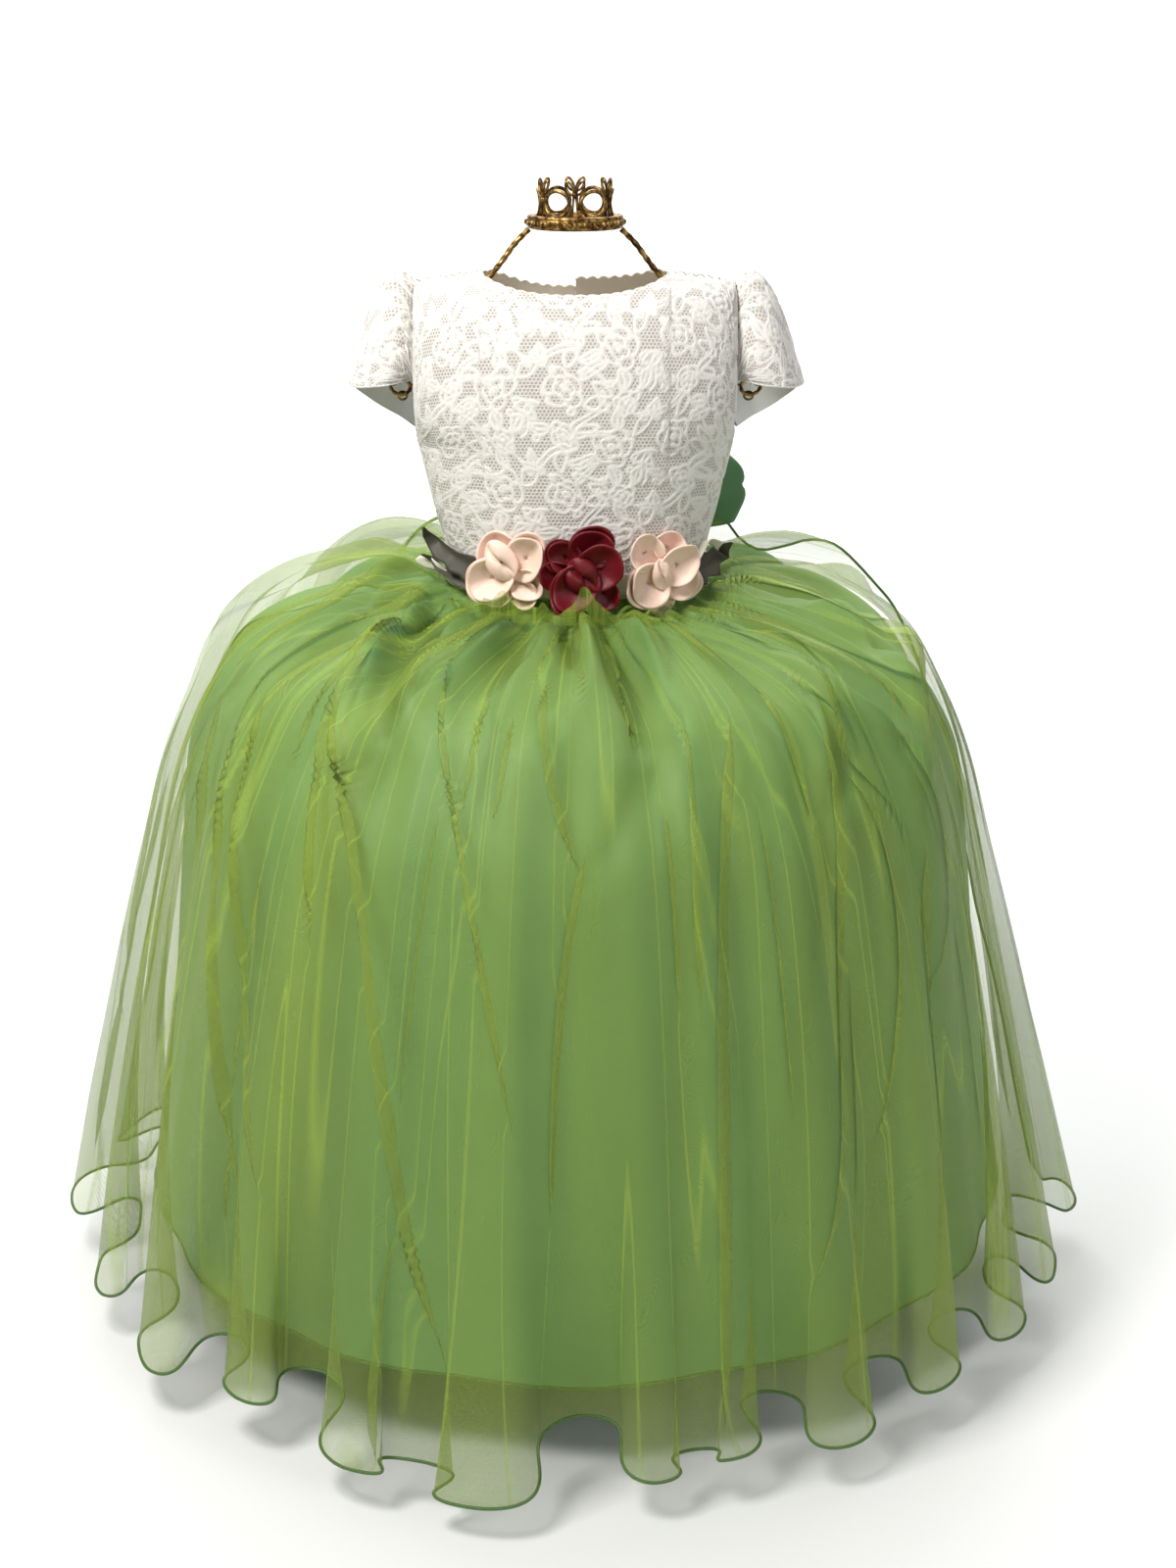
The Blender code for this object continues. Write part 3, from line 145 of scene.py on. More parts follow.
# Satin folds: half width in degrees, height of the ridge (minus for a trough), then the fold's
# route down the skirt as azimuth and level.
Fold = namedtuple("Fold", "half_width height route")
SATIN_FOLDS = (
    Fold(5.0, -0.013, ((-84, 1.6), (-84, 2.4), (-78, 4.6), (-76, 5.6), (-75, 7.0))),
    Fold(4.0, 0.006, ((-112, 2.2), (-97, 4.7), (-85, 6.9), (-82, 8.2))),
    Fold(3.4, 0.007, ((-81, 1.6), (-72, 3.4), (-63, 4.7), (-61, 6.3), (-60, 7.6))),
    Fold(3.4, 0.010, ((-67, 1.8), (-48, 4.1), (-38, 5.5), (-33, 6.7), (-32, 7.8))),
    Fold(4.2, -0.014, ((-57, 1.8), (-43, 4.2), (-35, 5.4), (-29, 6.6), (-27, 8.0))),
    Fold(2.6, 0.006, ((-24, 4.8), (-27, 5.4), (-31, 6.5), (-33, 7.2))),
    Fold(4.4, -0.009, ((-21, 1.4), (-18, 3.7), (-19, 4.7), (-20, 5.8))),
    Fold(3.0, 0.004, ((-27, 2.0), (-24, 3.6), (-25, 4.9), (-21, 5.6), (-12, 5.9))),
    Fold(3.2, -0.010, ((-6, 1.0), (1, 4.0), (-3, 5.3), (-8, 6.4))),
    Fold(3.6, 0.006, ((5, 1.5), (1, 4.5), (-4, 6.3), (-6, 7.8))),
    Fold(3.6, -0.016, ((12, 2.2), (12, 4.0), (12, 5.2), (9, 6.3))),
    Fold(2.4, -0.009, ((17, 3.0), (13, 5.2), (9, 6.6), (6, 7.5), (1, 8.2))),
    Fold(3.0, 0.007, ((23, 1.7), (17, 4.2), (13, 5.6), (9, 6.8), (8, 7.8))),
    Fold(2.4, -0.008, ((18, 4.6), (14, 6.0), (11, 7.0), (10, 8.0))),
    Fold(3.4, 0.006, ((31, 1.7), (28, 4.6), (31, 6.2), (33, 7.4))),
    Fold(3.0, -0.009, ((39, 1.8), (35, 4.3), (34, 5.8), (35, 6.8))),
    Fold(3.0, 0.008, ((46, 3.4), (49, 5.8), (57, 6.9), (60, 7.8))),
    Fold(2.2, 0.007, ((43, 4.6), (41, 5.8), (38, 6.8), (35, 7.5))),
    Fold(2.2, -0.007, ((45, 5.6), (42, 6.6), (38, 7.6))),
    Fold(3.6, -0.011, ((62, 2.4), (62, 5.1), (59, 6.4), (56, 7.4))),
    Fold(3.6, 0.009, ((95, 3.8), (80, 5.2), (68, 6.1), (60, 7.1), (57, 8.0))),
    Fold(4.6, -0.011, ((86, 2.0), (82, 4.0), (77, 5.6), (75, 7.0))),
    Fold(5.0, -0.014, ((104, 1.4), (103, 4.0), (100, 6.0), (99, 7.8))),
    Fold(4.4, 0.007, ((112, 1.8), (113, 4.4), (110, 6.6), (108, 8.2))),
    Fold(4.6, -0.012, ((122, 2.0), (124, 4.6), (126, 7.0))),
    Fold(4.0, 0.008, ((131, 1.8), (134, 4.6), (133, 7.6))),
    Fold(4.8, -0.015, ((141, 1.4), (144, 4.8), (145, 8.2))),
    Fold(4.2, 0.006, ((151, 2.4), (152, 5.0), (155, 7.4))),
    Fold(4.6, -0.011, ((163, 1.8), (161, 4.6), (160, 7.2))),
    Fold(4.4, 0.007, ((172, 1.6), (174, 4.4), (172, 7.9))),
    Fold(5.0, -0.014, ((183, 1.4), (185, 4.6), (186, 7.8))),
    Fold(4.0, 0.007, ((194, 2.0), (197, 5.0), (195, 7.0))),
    Fold(4.6, -0.011, ((204, 2.0), (207, 4.6), (208, 7.2))),
    Fold(4.2, 0.008, ((214, 1.6), (213, 4.6), (215, 8.0))),
    Fold(5.0, -0.015, ((225, 1.4), (222, 5.0), (221, 8.0))),
    Fold(4.0, 0.006, ((236, 2.2), (234, 5.0), (237, 7.2))),
    Fold(4.6, -0.012, ((247, 1.8), (249, 4.6), (250, 7.4))),
)

# Long soft swells of the satin below its folds: azimuth at the top and hem, half width, height.
SATIN_SWELLS = (
    (-88, -86, 7.0, 0.005), (-70, -66, 6.0, -0.006), (-55, -52, 6.0, 0.004), (-40, -38, 5.0, -0.005),
    (-27, -27, 6.0, 0.004), (-12, -14, 5.0, -0.004), (2, 1, 6.0, 0.005), (15, 17, 5.0, -0.006),
    (27, 30, 6.0, 0.004), (43, 44, 5.0, -0.005), (56, 58, 6.0, 0.005), (72, 70, 5.0, -0.005),
    (88, 87, 7.0, 0.005), (108, 110, 7.0, -0.005), (126, 124, 6.0, 0.005), (147, 149, 7.0, -0.006),
    (166, 165, 6.0, 0.005), (184, 186, 7.0, -0.005), (203, 204, 6.0, 0.006), (224, 222, 7.0, -0.006),
    (243, 245, 6.0, 0.005), (258, 258, 5.0, -0.004),
)

# Folds where the tulle doubles back on itself: half width in degrees, how far it doubles back,
# then its route down the skirt as azimuth and level.
TulleFold = namedtuple("TulleFold", "half_width double route")
TULLE_FOLDS = (
    TulleFold(2.6, 0.95, ((-43, 4.4), (-41, 5.7), (-36, 6.9), (-33, 8.1), (-32, 8.9))),
    TulleFold(3.0, 0.90, ((-41, 5.2), (-38, 6.2), (-32, 7.5), (-24, 8.6), (-20, 9.2), (-16, 10.3),
                          (-14, 10.8), (-14, 11.4))),
    TulleFold(1.7, 0.80, ((-17, 10.0), (-19, 10.6), (-20, 11.1), (-20, 12.0))),
    TulleFold(2.2, 0.85, ((-25, 4.4), (-23, 5.6), (-15, 7.0), (-12, 8.2), (-7, 9.2), (-6, 9.9))),
    TulleFold(2.4, 0.95, ((-5, 4.8), (-4, 6.2), (-2, 7.2), (1, 7.9))),
    TulleFold(2.2, 0.80, ((2, 7.4), (1, 8.2), (-2, 8.8), (-2, 9.8), (-2, 10.4))),
    TulleFold(1.9, 0.80, ((-9, 5.8), (-9, 6.4), (-10, 7.3))),
    TulleFold(2.4, 0.85, ((17, 5.6), (16, 6.7), (14, 8.1), (14, 9.2))),
    TulleFold(3.2, 0.90, ((23, 5.8), (22, 7.0), (19, 8.2), (16, 9.5), (14, 10.2), (14, 10.8), (16, 11.2),
                          (17, 12.0))),
    TulleFold(2.8, 0.90, ((37, 5.8), (36, 6.9), (35, 8.6), (32, 9.2), (28, 9.8), (26, 10.4), (26, 10.9))),
    TulleFold(2.2, 0.85, ((38, 5.2), (39, 6.3), (42, 7.0), (49, 8.1))),
    TulleFold(2.6, 0.90, ((52, 6.6), (54, 7.6), (55, 8.4), (51, 8.9), (46, 9.4))),
    TulleFold(2.2, 0.85, ((39, 6.8), (40, 7.5), (42, 8.7), (38, 9.6), (34, 10.2))),
    TulleFold(2.8, 0.90, ((-65, 6.4), (-63, 7.5), (-54, 9.2), (-50, 10.4), (-49, 11.2))),
    TulleFold(2.6, 0.90, ((-58, 6.4), (-56, 7.2), (-46, 9.1), (-42, 10.2), (-41, 10.8))),
    TulleFold(2.2, 0.85, ((-47, 7.8), (-45, 8.5), (-41, 9.4), (-35, 10.4))),
    TulleFold(2.2, 0.85, ((-53, 6.2), (-51, 7.0), (-46, 8.3), (-44, 8.9))),
    TulleFold(2.6, 0.90, ((50, 8.0), (48, 8.8), (46, 10.1), (46, 11.2))),
    TulleFold(2.6, 0.80, ((-70, 1.6), (-68, 4.5), (-68, 6.4))),
    TulleFold(2.6, 0.85, ((-64, 1.6), (-60, 4.3), (-56, 6.0), (-58, 7.3))),
    TulleFold(2.6, 0.85, ((-59, 1.6), (-48, 4.4), (-41, 6.0), (-42, 7.3))),
    TulleFold(2.6, 0.80, ((70, 1.6), (70, 4.2), (68, 5.9))),
    TulleFold(2.6, 0.85, ((62, 1.6), (61, 4.5), (64, 6.3), (66, 7.5))),
    TulleFold(2.4, 0.85, ((54, 1.6), (42, 5.0), (46, 6.9))),
    TulleFold(2.4, 0.80, ((-33, 1.8), (-35, 3.6), (-31, 5.0))),
    TulleFold(2.4, 0.80, ((29, 1.8), (33, 3.4), (34, 4.8))),
    TulleFold(2.4, 0.90, ((7, 1.4), (9, 2.6), (10, 4.0), (8, 5.0))),
    TulleFold(2.2, 0.85, ((-4, 1.4), (-5, 2.8), (-6, 4.2))),
    TulleFold(2.4, 0.85, ((-76, 6.0), (-77, 8.0), (-74, 9.8), (-73, 11.0))),
    TulleFold(2.4, 0.85, ((-86, 4.6), (-88, 7.2), (-84, 9.4), (-82, 10.4))),
    TulleFold(2.2, 0.85, ((62, 7.4), (61, 9.0), (63, 10.6), (62, 11.4))),
    TulleFold(2.4, 0.85, ((76, 5.6), (78, 7.8), (76, 9.6), (75, 11.0))),
    TulleFold(2.2, 0.85, ((86, 5.0), (85, 7.4), (88, 9.6), (86, 10.8))),
)

Light = namedtuple("Light", "name place aim size power colour")
LIGHTS = (
    Light("key_light", (-0.75, -0.85, 1.85), (0.0, -0.15, 0.5), 0.6, 35.0, (1.0, 0.985, 0.96)),
    Light("fill_light", (2.0, -2.1, 1.7), (0.0, 0.0, 0.75), 1.4, 23.0, (0.97, 0.985, 1.0)),
    Light("back_light", (0.2, 2.2, 2.6), (0.0, 0.0, 0.45), 1.8, 30.0, (1.0, 1.0, 1.0)),
    Light("backdrop_light", (0.0, 3.0, 4.2), (0.0, 4.8, 0.4), 5.0, 270.0, (1.0, 1.0, 1.0)),
)
CAMERA_PLACE = (0.01, -1.85, 1.02)
CAMERA_TILT = 72.0
CAMERA_LENS = 52.9


def smooth(places, values, at):
    """A curve through the values that never overshoots them, read at an array of places."""
    places = np.asarray(places, float)
    values = np.asarray(values, float)
    gaps = np.diff(places)
    rates = np.diff(values) / gaps
    before, after = rates[:-1], rates[1:]
    rising = before * after > 0
    total = np.where(rising, before + after, 1.0)
    slopes = np.concatenate(([rates[0]], np.where(rising, 2 * before * after / total, 0.0), [rates[-1]]))
    at = np.clip(at, places[0], places[-1])
    k = np.clip(np.searchsorted(places, at, side="right") - 1, 0, len(gaps) - 1)
    t = (at - places[k]) / gaps[k]
    return ((2 * t**3 - 3 * t**2 + 1) * values[k] + (t**3 - 2 * t**2 + t) * gaps[k] * slopes[k]
            + (3 * t**2 - 2 * t**3) * values[k + 1] + (t**3 - t**2) * gaps[k] * slopes[k + 1])


def skirt_row(column, level):
    return smooth(np.arange(SKIRT_ROWS.shape[1]), SKIRT_ROWS[column], level)


def ramp(low, high, at):
    """0 below low, 1 above high, and a soft step between."""
    share = np.clip((at - low) / (high - low), 0.0, 1.0)
    return share * share * (3 - 2 * share)


def bump(at, start, end, ease):
    """1 between start and end, fading softly to 0 outside over the ease."""
    return ramp(start - ease, start + ease, at) * (1 - ramp(end - ease, end + ease, at))


def wander(at, seed, scale):
    """A smooth line of small changes between -1 and 1, repeating after a full turn of azimuth."""
    draw = np.random.default_rng(seed)
    total = np.zeros_like(at)
    weight = 0.0
    for step in range(1, 6):
        strength = 1.0 / step**0.5
        weight += strength
        cycles = max(1, round(scale * step))
        total += strength * np.sin(np.radians(at) * cycles + draw.uniform(0, 2 * math.pi))
    return total / weight


def turned_by(azimuth):
    turn = np.radians(azimuth)
    return np.sin(turn), -np.cos(turn)


def full_turn(count):
    """Angles evenly round a full turn, in radians."""
    return np.linspace(0.0, 2 * math.pi, count, endpoint=False)


def oval_reach(right, back, half, depth):
    """How far the body's rounded oval reaches in a direction, from its half width and its depth."""
    return (np.abs(right / half)**BODY_ROUND + np.abs(back / depth)**BODY_ROUND)**(-1 / BODY_ROUND)


def skirt_form(radius_column, height_column, front_column, azimuth, level):
    """Points of a skirt's smooth form, as in the solids."""
    turn = np.radians(azimuth)
    full, end = math.cos(math.radians(FRONT_FULL)), math.cos(math.radians(FRONT_END))
    front = ramp(0.0, 1.0, (np.cos(turn) - end) / (full - end))
    side_z = skirt_row(height_column, level)
    height = side_z + (skirt_row(front_column, level) - side_z) * front
    half, ahead, behind = SECTION_HALF_WIDTHS[0], SECTION_FRONTS[0], SECTION_BACKS[0]
    depth = np.where(np.cos(turn) > 0, ahead, behind)
    reach = oval_reach(np.sin(turn), np.cos(turn), half, depth)
    radius = skirt_row(radius_column, level) - (half - reach) * skirt_row(WAIST_SHARE, level)
    return np.stack((radius * np.sin(turn), -radius * np.cos(turn), height), -1)


def unit(vectors):
    return vectors / np.maximum(np.linalg.norm(vectors, axis=-1, keepdims=True), 1e-12)


def run_along(path):
    """Length along a path from its start to each of its points."""
    return np.concatenate(([0.0], np.cumsum(np.linalg.norm(np.diff(path, axis=0), axis=1))))


def form_normals(columns, azimuth, level):
    """Outward normals of a skirt's smooth form."""
    low = skirt_form(*columns, azimuth, np.minimum(level + 0.06, LAST_LEVEL))
    high = skirt_form(*columns, azimuth, np.maximum(level - 0.06, 0.0))
    ahead = skirt_form(*columns, azimuth + 1.0, level) - skirt_form(*columns, azimuth - 1.0, level)
    return unit(np.cross(ahead, high - low))


def levels_evenly(columns, rows, azimuth=60.0, crowd=1.0):
    """Levels whose rows lie evenly down the cloth; crowd above 1 puts more of them near the waist."""
    fine = np.linspace(0.0, LAST_LEVEL, 1200)
    path = skirt_form(*columns, np.full_like(fine, azimuth), fine)
    run = run_along(path)
    wanted = run[-1] * np.linspace(0.0, 1.0, rows)**crowd
    return np.interp(wanted, run, fine), wanted


def sink(table, azimuth, level):
    """Sideways and forward shift of a skirt whose sides hang closer in."""
    share = bump(azimuth, 62.0, 112.0, 14.0) + LEFT_SINK_SHARE * bump(azimuth, -118.0, -62.0, 14.0)
    depth = -share * smooth(np.arange(len(table)), table, level)
    east, south = turned_by(azimuth)
    return np.stack((depth * east, depth * south, np.zeros_like(depth)), -1)


def route_at(route, level):
    """A fold's azimuth at each level, and its share of the way from its start to its end."""
    azimuths = np.array([point[0] for point in route], float)
    levels = np.array([point[1] for point in route], float)
    share = (level - levels[0]) / (levels[-1] - levels[0])
    return smooth(levels, azimuths, level), share


def satin_relief(azimuth, level):
    """How far the satin stands out from its smooth form."""
    relief = np.zeros_like(azimuth)
    for fold in SATIN_FOLDS:
        centre, share = route_at(fold.route, level)
        away = (azimuth - centre + 180.0) % 360.0 - 180.0
        inside = np.clip(share, 0.0, 1.0)
        envelope = np.sin(math.pi * inside**0.85)**1.2
        relief += FOLD_DEPTH * fold.height * envelope * np.exp(-(away / fold.half_width)**2)
    for top, low, half_width, height in SATIN_SWELLS:
        share = np.clip((level - 7.0) / 5.0, 0.0, 1.0)
        away = (azimuth - (top + (low - top) * share) + 180.0) % 360.0 - 180.0
        relief += height * ramp(6.6, 9.4, level) * (0.6 + 0.4 * share) * np.exp(-(away / half_width)**2)
    relief += waist_gathers(azimuth, level)
    return relief


def waist_gathers(azimuth, level):
    """Fine gathers that start in the waist seam and merge on the way down."""
    drift = wander(azimuth, 11, 5.0) * 3.0
    total = np.zeros_like(azimuth)
    for count, start, fade, height, seed in ((62, 0.2, 2.6, 0.0024, 21), (37, 0.8, 4.4, 0.0052, 22),
                                             (22, 1.6, 6.4, 0.0078, 23)):
        uneven = 0.55 + 0.45 * wander(azimuth, seed, 7.0)
        rise = ramp(start - 0.5, start + 0.7, level) * (1 - ramp(fade - 1.4, fade + 0.6, level))
        wave = np.sin(np.radians(azimuth + drift) * count + 1.3 * wander(azimuth, seed + 40, 3.0))
        total += height * uneven * rise * wave
    return total


def grid_faces(rows, columns, closed=False):
    spans = columns if closed else columns - 1
    row, column = np.meshgrid(np.arange(rows - 1), np.arange(spans), indexing="ij")
    after = (column + 1) % columns
    quads = np.stack((row * columns + column, row * columns + after,
                      (row + 1) * columns + after, (row + 1) * columns + column), -1)
    return quads.reshape(-1, 4)


def capped_faces(rows, columns):
    """Faces of closed rings of points, with one flat face at each end."""
    last = (rows - 1) * columns
    ends = [list(range(columns))[::-1], [last + k for k in range(columns)]]
    return grid_faces(rows, columns, True).tolist() + ends


def grid_normals(points, closed=False):
    """Unit normals of a grid of points, rows first."""
    if closed:
        along = np.roll(points, -1, 1) - np.roll(points, 1, 1)
    else:
        along = np.gradient(points, axis=1)
    return unit(np.cross(along, np.gradient(points, axis=0)))


def arc_sheet(points):
    """Lengths along a grid's rows and columns, in metres, for weaves that keep their size."""
    across = np.cumsum(np.linalg.norm(np.diff(points, axis=1, prepend=points[:, :1]), axis=2), 1)
    down = np.cumsum(np.linalg.norm(np.diff(points, axis=0, prepend=points[:1]), axis=2), 0)
    return np.stack((across, down), -1)


def make_piece(name, points, faces, finish, slot, replaces=(), cloth=None, flip=False, masks=None):
    """A mesh piece with its finish, the node it stands for, and its body."""
    points = np.asarray(points, float).reshape(-1, 3)
    faces = [list(map(int, face)) for face in faces]
    if flip:
        faces = [face[::-1] for face in faces]
    mesh = bpy.data.meshes.new(name)
    mesh.from_pydata(points.tolist(), [], faces)
    if cloth is not None:
        layer = mesh.uv_layers.new(name="cloth")
        corners = np.empty(len(mesh.loops), np.int32)
        mesh.loops.foreach_get("vertex_index", corners)
        places = np.asarray(cloth, float).reshape(-1, 2)[corners]
        layer.data.foreach_set("uv", places.astype(np.float32).ravel())
    for mask, values in (masks or {}).items():
        attribute = mesh.attributes.new(mask, "FLOAT", "POINT")
        attribute.data.foreach_set("value", np.asarray(values, float).astype(np.float32).ravel())
    mesh.polygons.foreach_set("use_smooth", [True] * len(mesh.polygons))
    mesh.materials.append(finish)
    piece = bpy.data.objects.new(name, mesh)
    bpy.context.scene.collection.objects.link(piece)
    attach(piece, BODY)
    if replaces:
        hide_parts(*replaces)
    return piece


def tube_points(path, radius, sides, closed=False, squash=1.0, turn=None, strands=0.0):
    """Rings of points round a path. Radius may change along it; strands twists it like a rope."""
    path = np.asarray(path, float)
    count = len(path)
    if closed:
        heading = unit(np.roll(path, -1, 0) - np.roll(path, 1, 0))
    else:
        heading = unit(np.gradient(path, axis=0))
    side = np.zeros_like(path)
    guess = np.array((0.0, 0.0, 1.0)) if abs(heading[0][2]) < 0.9 else np.array((0.0, 1.0, 0.0))
    for i in range(count):
        guess = guess - heading[i] * guess.dot(heading[i])
        guess = guess / np.linalg.norm(guess)
        side[i] = guess
    if closed:
        missing = math.atan2(np.dot(np.cross(side[-1], side[0]), heading[0]), np.dot(side[-1], side[0]))
        twist = missing * np.arange(count) / count
        other = np.cross(heading, side)
        side = side * np.cos(twist)[:, None] + other * np.sin(twist)[:, None]
    other = np.cross(heading, side)
    angles = full_turn(sides)[None, :] * np.ones((count, 1))
    reach = np.broadcast_to(np.asarray(radius, float).reshape(-1, 1), (count, 1)) * np.ones((1, sides))
    if turn is not None:
        reach = reach * (1.0 + strands * np.abs(np.cos(angles - np.asarray(turn).reshape(-1, 1))) - strands)
    return (path[:, None, :] + (side[:, None, :] * np.cos(angles)[..., None]
                                + other[:, None, :] * np.sin(angles)[..., None] * squash) * reach[..., None])


def tube_faces(rows, sides, closed):
    faces = []
    for i in range(rows if closed else rows - 1):
        after = (i + 1) % rows
        for k in range(sides):
            step = (k + 1) % sides
            faces.append([i * sides + k, i * sides + step, after * sides + step, after * sides + k])
    if not closed:
        faces.append(list(range(sides))[::-1])
        faces.append([(rows - 1) * sides + k for k in range(sides)])
    return faces


def wire(path, radius, sides, closed=False, squash=1.0):
    """Points and faces of a round wire along a path, or of a ring."""
    return tube_points(path, radius, sides, closed, squash), tube_faces(len(path), sides, closed)


def joined(parts):
    """Points and faces of several parts as one mesh."""
    points, faces, first = [], [], 0
    for part_points, part_faces in parts:
        part_points = np.asarray(part_points, float).reshape(-1, 3)
        points.append(part_points)
        faces += [[first + int(i) for i in face] for face in part_faces]
        first += len(part_points)
    return np.concatenate(points), faces


def shell(points, thickness, closed=False):
    """A grid of outer points with an inner side and closed rims."""
    normals = grid_normals(points, closed)
    rows, columns = points.shape[:2]
    inner = points - normals * thickness
    both = np.concatenate((points.reshape(-1, 3), inner.reshape(-1, 3)))
    outer_faces = grid_faces(rows, columns, closed)
    shift = rows * columns
    faces = outer_faces.tolist() + (outer_faces[:, ::-1] + shift).tolist()
    spans = columns if closed else columns - 1
    for k in range(spans):
        after = (k + 1) % columns
        faces.append([shift + k, shift + after, after, k])
        last = (rows - 1) * columns
        faces.append([last + k, last + after, shift + last + after, shift + last + k])
    if not closed:
        for i in range(rows - 1):
            low, high = i * columns, (i + 1) * columns
            faces.append([low, high, shift + high, shift + low])
            end = columns - 1
            faces.append([shift + low + end, shift + high + end, high + end, low + end])
    return both, faces


# Materials

def node(tree, kind, **settings):
    made = tree.nodes.new(kind)
    for key, value in settings.items():
        setattr(made, key, value)
    return made


def feed(tree, socket, value):
    """Give a socket another node's output, a number or a colour."""
    if isinstance(value, bpy.types.NodeSocket):
        tree.links.new(value, socket)
    elif isinstance(value, (int, float)):
        socket.default_value = value
    else:
        socket.default_value = (*value, 1.0)


def math_node(tree, operation, *values):
    made = node(tree, "ShaderNodeMath", operation=operation)
    for socket, value in zip(made.inputs, values):
        feed(tree, socket, value)
    return made.outputs[0]


def clamped(tree, value):
    made = node(tree, "ShaderNodeClamp")
    tree.links.new(value, made.inputs[0])
    return made.outputs[0]


def attribute_value(tree, name):
    return node(tree, "ShaderNodeAttribute", attribute_name=name).outputs["Fac"]


def noise_node(tree, place, scale, detail=2.0):
    made = node(tree, "ShaderNodeTexNoise")
    made.inputs["Scale"].default_value = scale
    made.inputs["Detail"].default_value = detail
    tree.links.new(place, made.inputs["Vector"])
    return made.outputs[0]


def scaled(colour, factor):
    return tuple(min(1.0, part * factor) for part in colour)


def mix_colour(tree, share, first, second):
    made = node(tree, "ShaderNodeMix", data_type="RGBA")
    for socket, value in ((made.inputs[0], share), (made.inputs[6], first), (made.inputs[7], second)):
        feed(tree, socket, value)
    return made.outputs[2]


def effect_group(name, inputs, outputs):
    """A new shader node group with its sockets, and its input and output nodes."""
    tree = bpy.data.node_groups.new(name, "ShaderNodeTree")
    for label, kind, default in inputs:
        socket = tree.interface.new_socket(name=label, in_out="INPUT", socket_type=kind)
        if default is not None:
            socket.default_value = default
    for label, kind in outputs:
        tree.interface.new_socket(name=label, in_out="OUTPUT", socket_type=kind)
    return tree, node(tree, "NodeGroupInput"), node(tree, "NodeGroupOutput")


def woven_group():
    """Fine crossing threads with a little unevenness, for satin, ribbon and tape."""
    if "woven threads" in bpy.data.node_groups:
        return bpy.data.node_groups["woven threads"]
    tree, given, result = effect_group(
        "woven threads",
        [("Cloth", "NodeSocketVector", None), ("Thread", "NodeSocketFloat", 0.0006),
         ("Uneven", "NodeSocketFloat", 0.5)],
        [("Height", "NodeSocketFloat"), ("Shade", "NodeSocketFloat")])
    split = node(tree, "ShaderNodeSeparateXYZ")
    tree.links.new(given.outputs["Cloth"], split.inputs[0])
    waves = []
    for axis in (0, 1):
        turns = math_node(tree, "DIVIDE", split.outputs[axis], given.outputs["Thread"])
        waves.append(math_node(tree, "SINE", math_node(tree, "MULTIPLY", turns, 2 * math.pi)))
    threads = math_node(tree, "MULTIPLY", waves[0], waves[1])
    slub = noise_node(tree, given.outputs["Cloth"], 420.0)
    rough = math_node(tree, "MULTIPLY", slub, given.outputs["Uneven"])
    height = math_node(tree, "ADD", math_node(tree, "MULTIPLY", threads, 0.5), rough)
    broad = noise_node(tree, given.outputs["Cloth"], 14.0, 3.0)
    tree.links.new(height, result.inputs["Height"])
    tree.links.new(broad, result.inputs["Shade"])
    return tree


def from_middle(tree, value, period):
    """How far a value lies from the middle of its repeat."""
    wrapped = math_node(tree, "FLOORED_MODULO", value, period)
    return math_node(tree, "ABSOLUTE", math_node(tree, "SUBTRACT", wrapped, period / 2))


def net_group():
    """A hexagonal net: 1 on its threads and 0 in its holes."""
    if "hexagonal net" in bpy.data.node_groups:
        return bpy.data.node_groups["hexagonal net"]
    tree, given, result = effect_group(
        "hexagonal net",
        [("Cloth", "NodeSocketVector", None), ("Hole", "NodeSocketFloat", 0.0024),
         ("Thread Share", "NodeSocketFloat", 0.3)],
        [("Thread", "NodeSocketFloat")])
    split = node(tree, "ShaderNodeSeparateXYZ")
    tree.links.new(given.outputs["Cloth"], split.inputs[0])
    across = math_node(tree, "DIVIDE", split.outputs[0], given.outputs["Hole"])
    up = math_node(tree, "DIVIDE", split.outputs[1], given.outputs["Hole"])
    tall = math.sqrt(3.0)
    reaches = []
    for shift in (0.0, 0.5):
        x = from_middle(tree, math_node(tree, "ADD", across, shift), 1.0)
        y = from_middle(tree, math_node(tree, "ADD", up, shift * tall), tall)
        slant = math_node(tree, "ADD", math_node(tree, "MULTIPLY", x, 0.5),
                          math_node(tree, "MULTIPLY", y, tall / 2))
        reaches.append(math_node(tree, "MAXIMUM", x, slant))
    nearest = math_node(tree, "MINIMUM", reaches[0], reaches[1])
    edge = math_node(tree, "SUBTRACT", 0.5, nearest)
    share = math_node(tree, "MULTIPLY", given.outputs["Thread Share"], 0.5)
    thread = math_node(tree, "SUBTRACT", 1.0, math_node(tree, "DIVIDE", edge, share))
    tree.links.new(clamped(tree, thread), result.inputs["Thread"])
    return tree


def new_material(name, roughness, metallic=0.0, **constants):
    made = bpy.data.materials.new(name)
    made.use_nodes = True
    tree = made.node_tree
    shader = tree.nodes["Principled BSDF"]
    shader.inputs["Roughness"].default_value = roughness
    shader.inputs["Metallic"].default_value = metallic
    for key, value in constants.items():
        shader.inputs[key.replace("_", " ")].default_value = value
    return made, tree, shader


def cloth_place(tree):
    return node(tree, "ShaderNodeUVMap", uv_map="cloth").outputs[0]


def place_group(tree, group, **values):
    made = node(tree, "ShaderNodeGroup")
    made.node_tree = group
    for key, value in values.items():
        feed(tree, made.inputs[key.replace("_", " ")], value)
    return made


def add_bump(tree, shader, height, distance, strength=1.0):
    made = node(tree, "ShaderNodeBump")
    made.inputs["Strength"].default_value = strength
    made.inputs["Distance"].default_value = distance
    tree.links.new(height, made.inputs["Height"])
    tree.links.new(made.outputs[0], shader.inputs["Normal"])


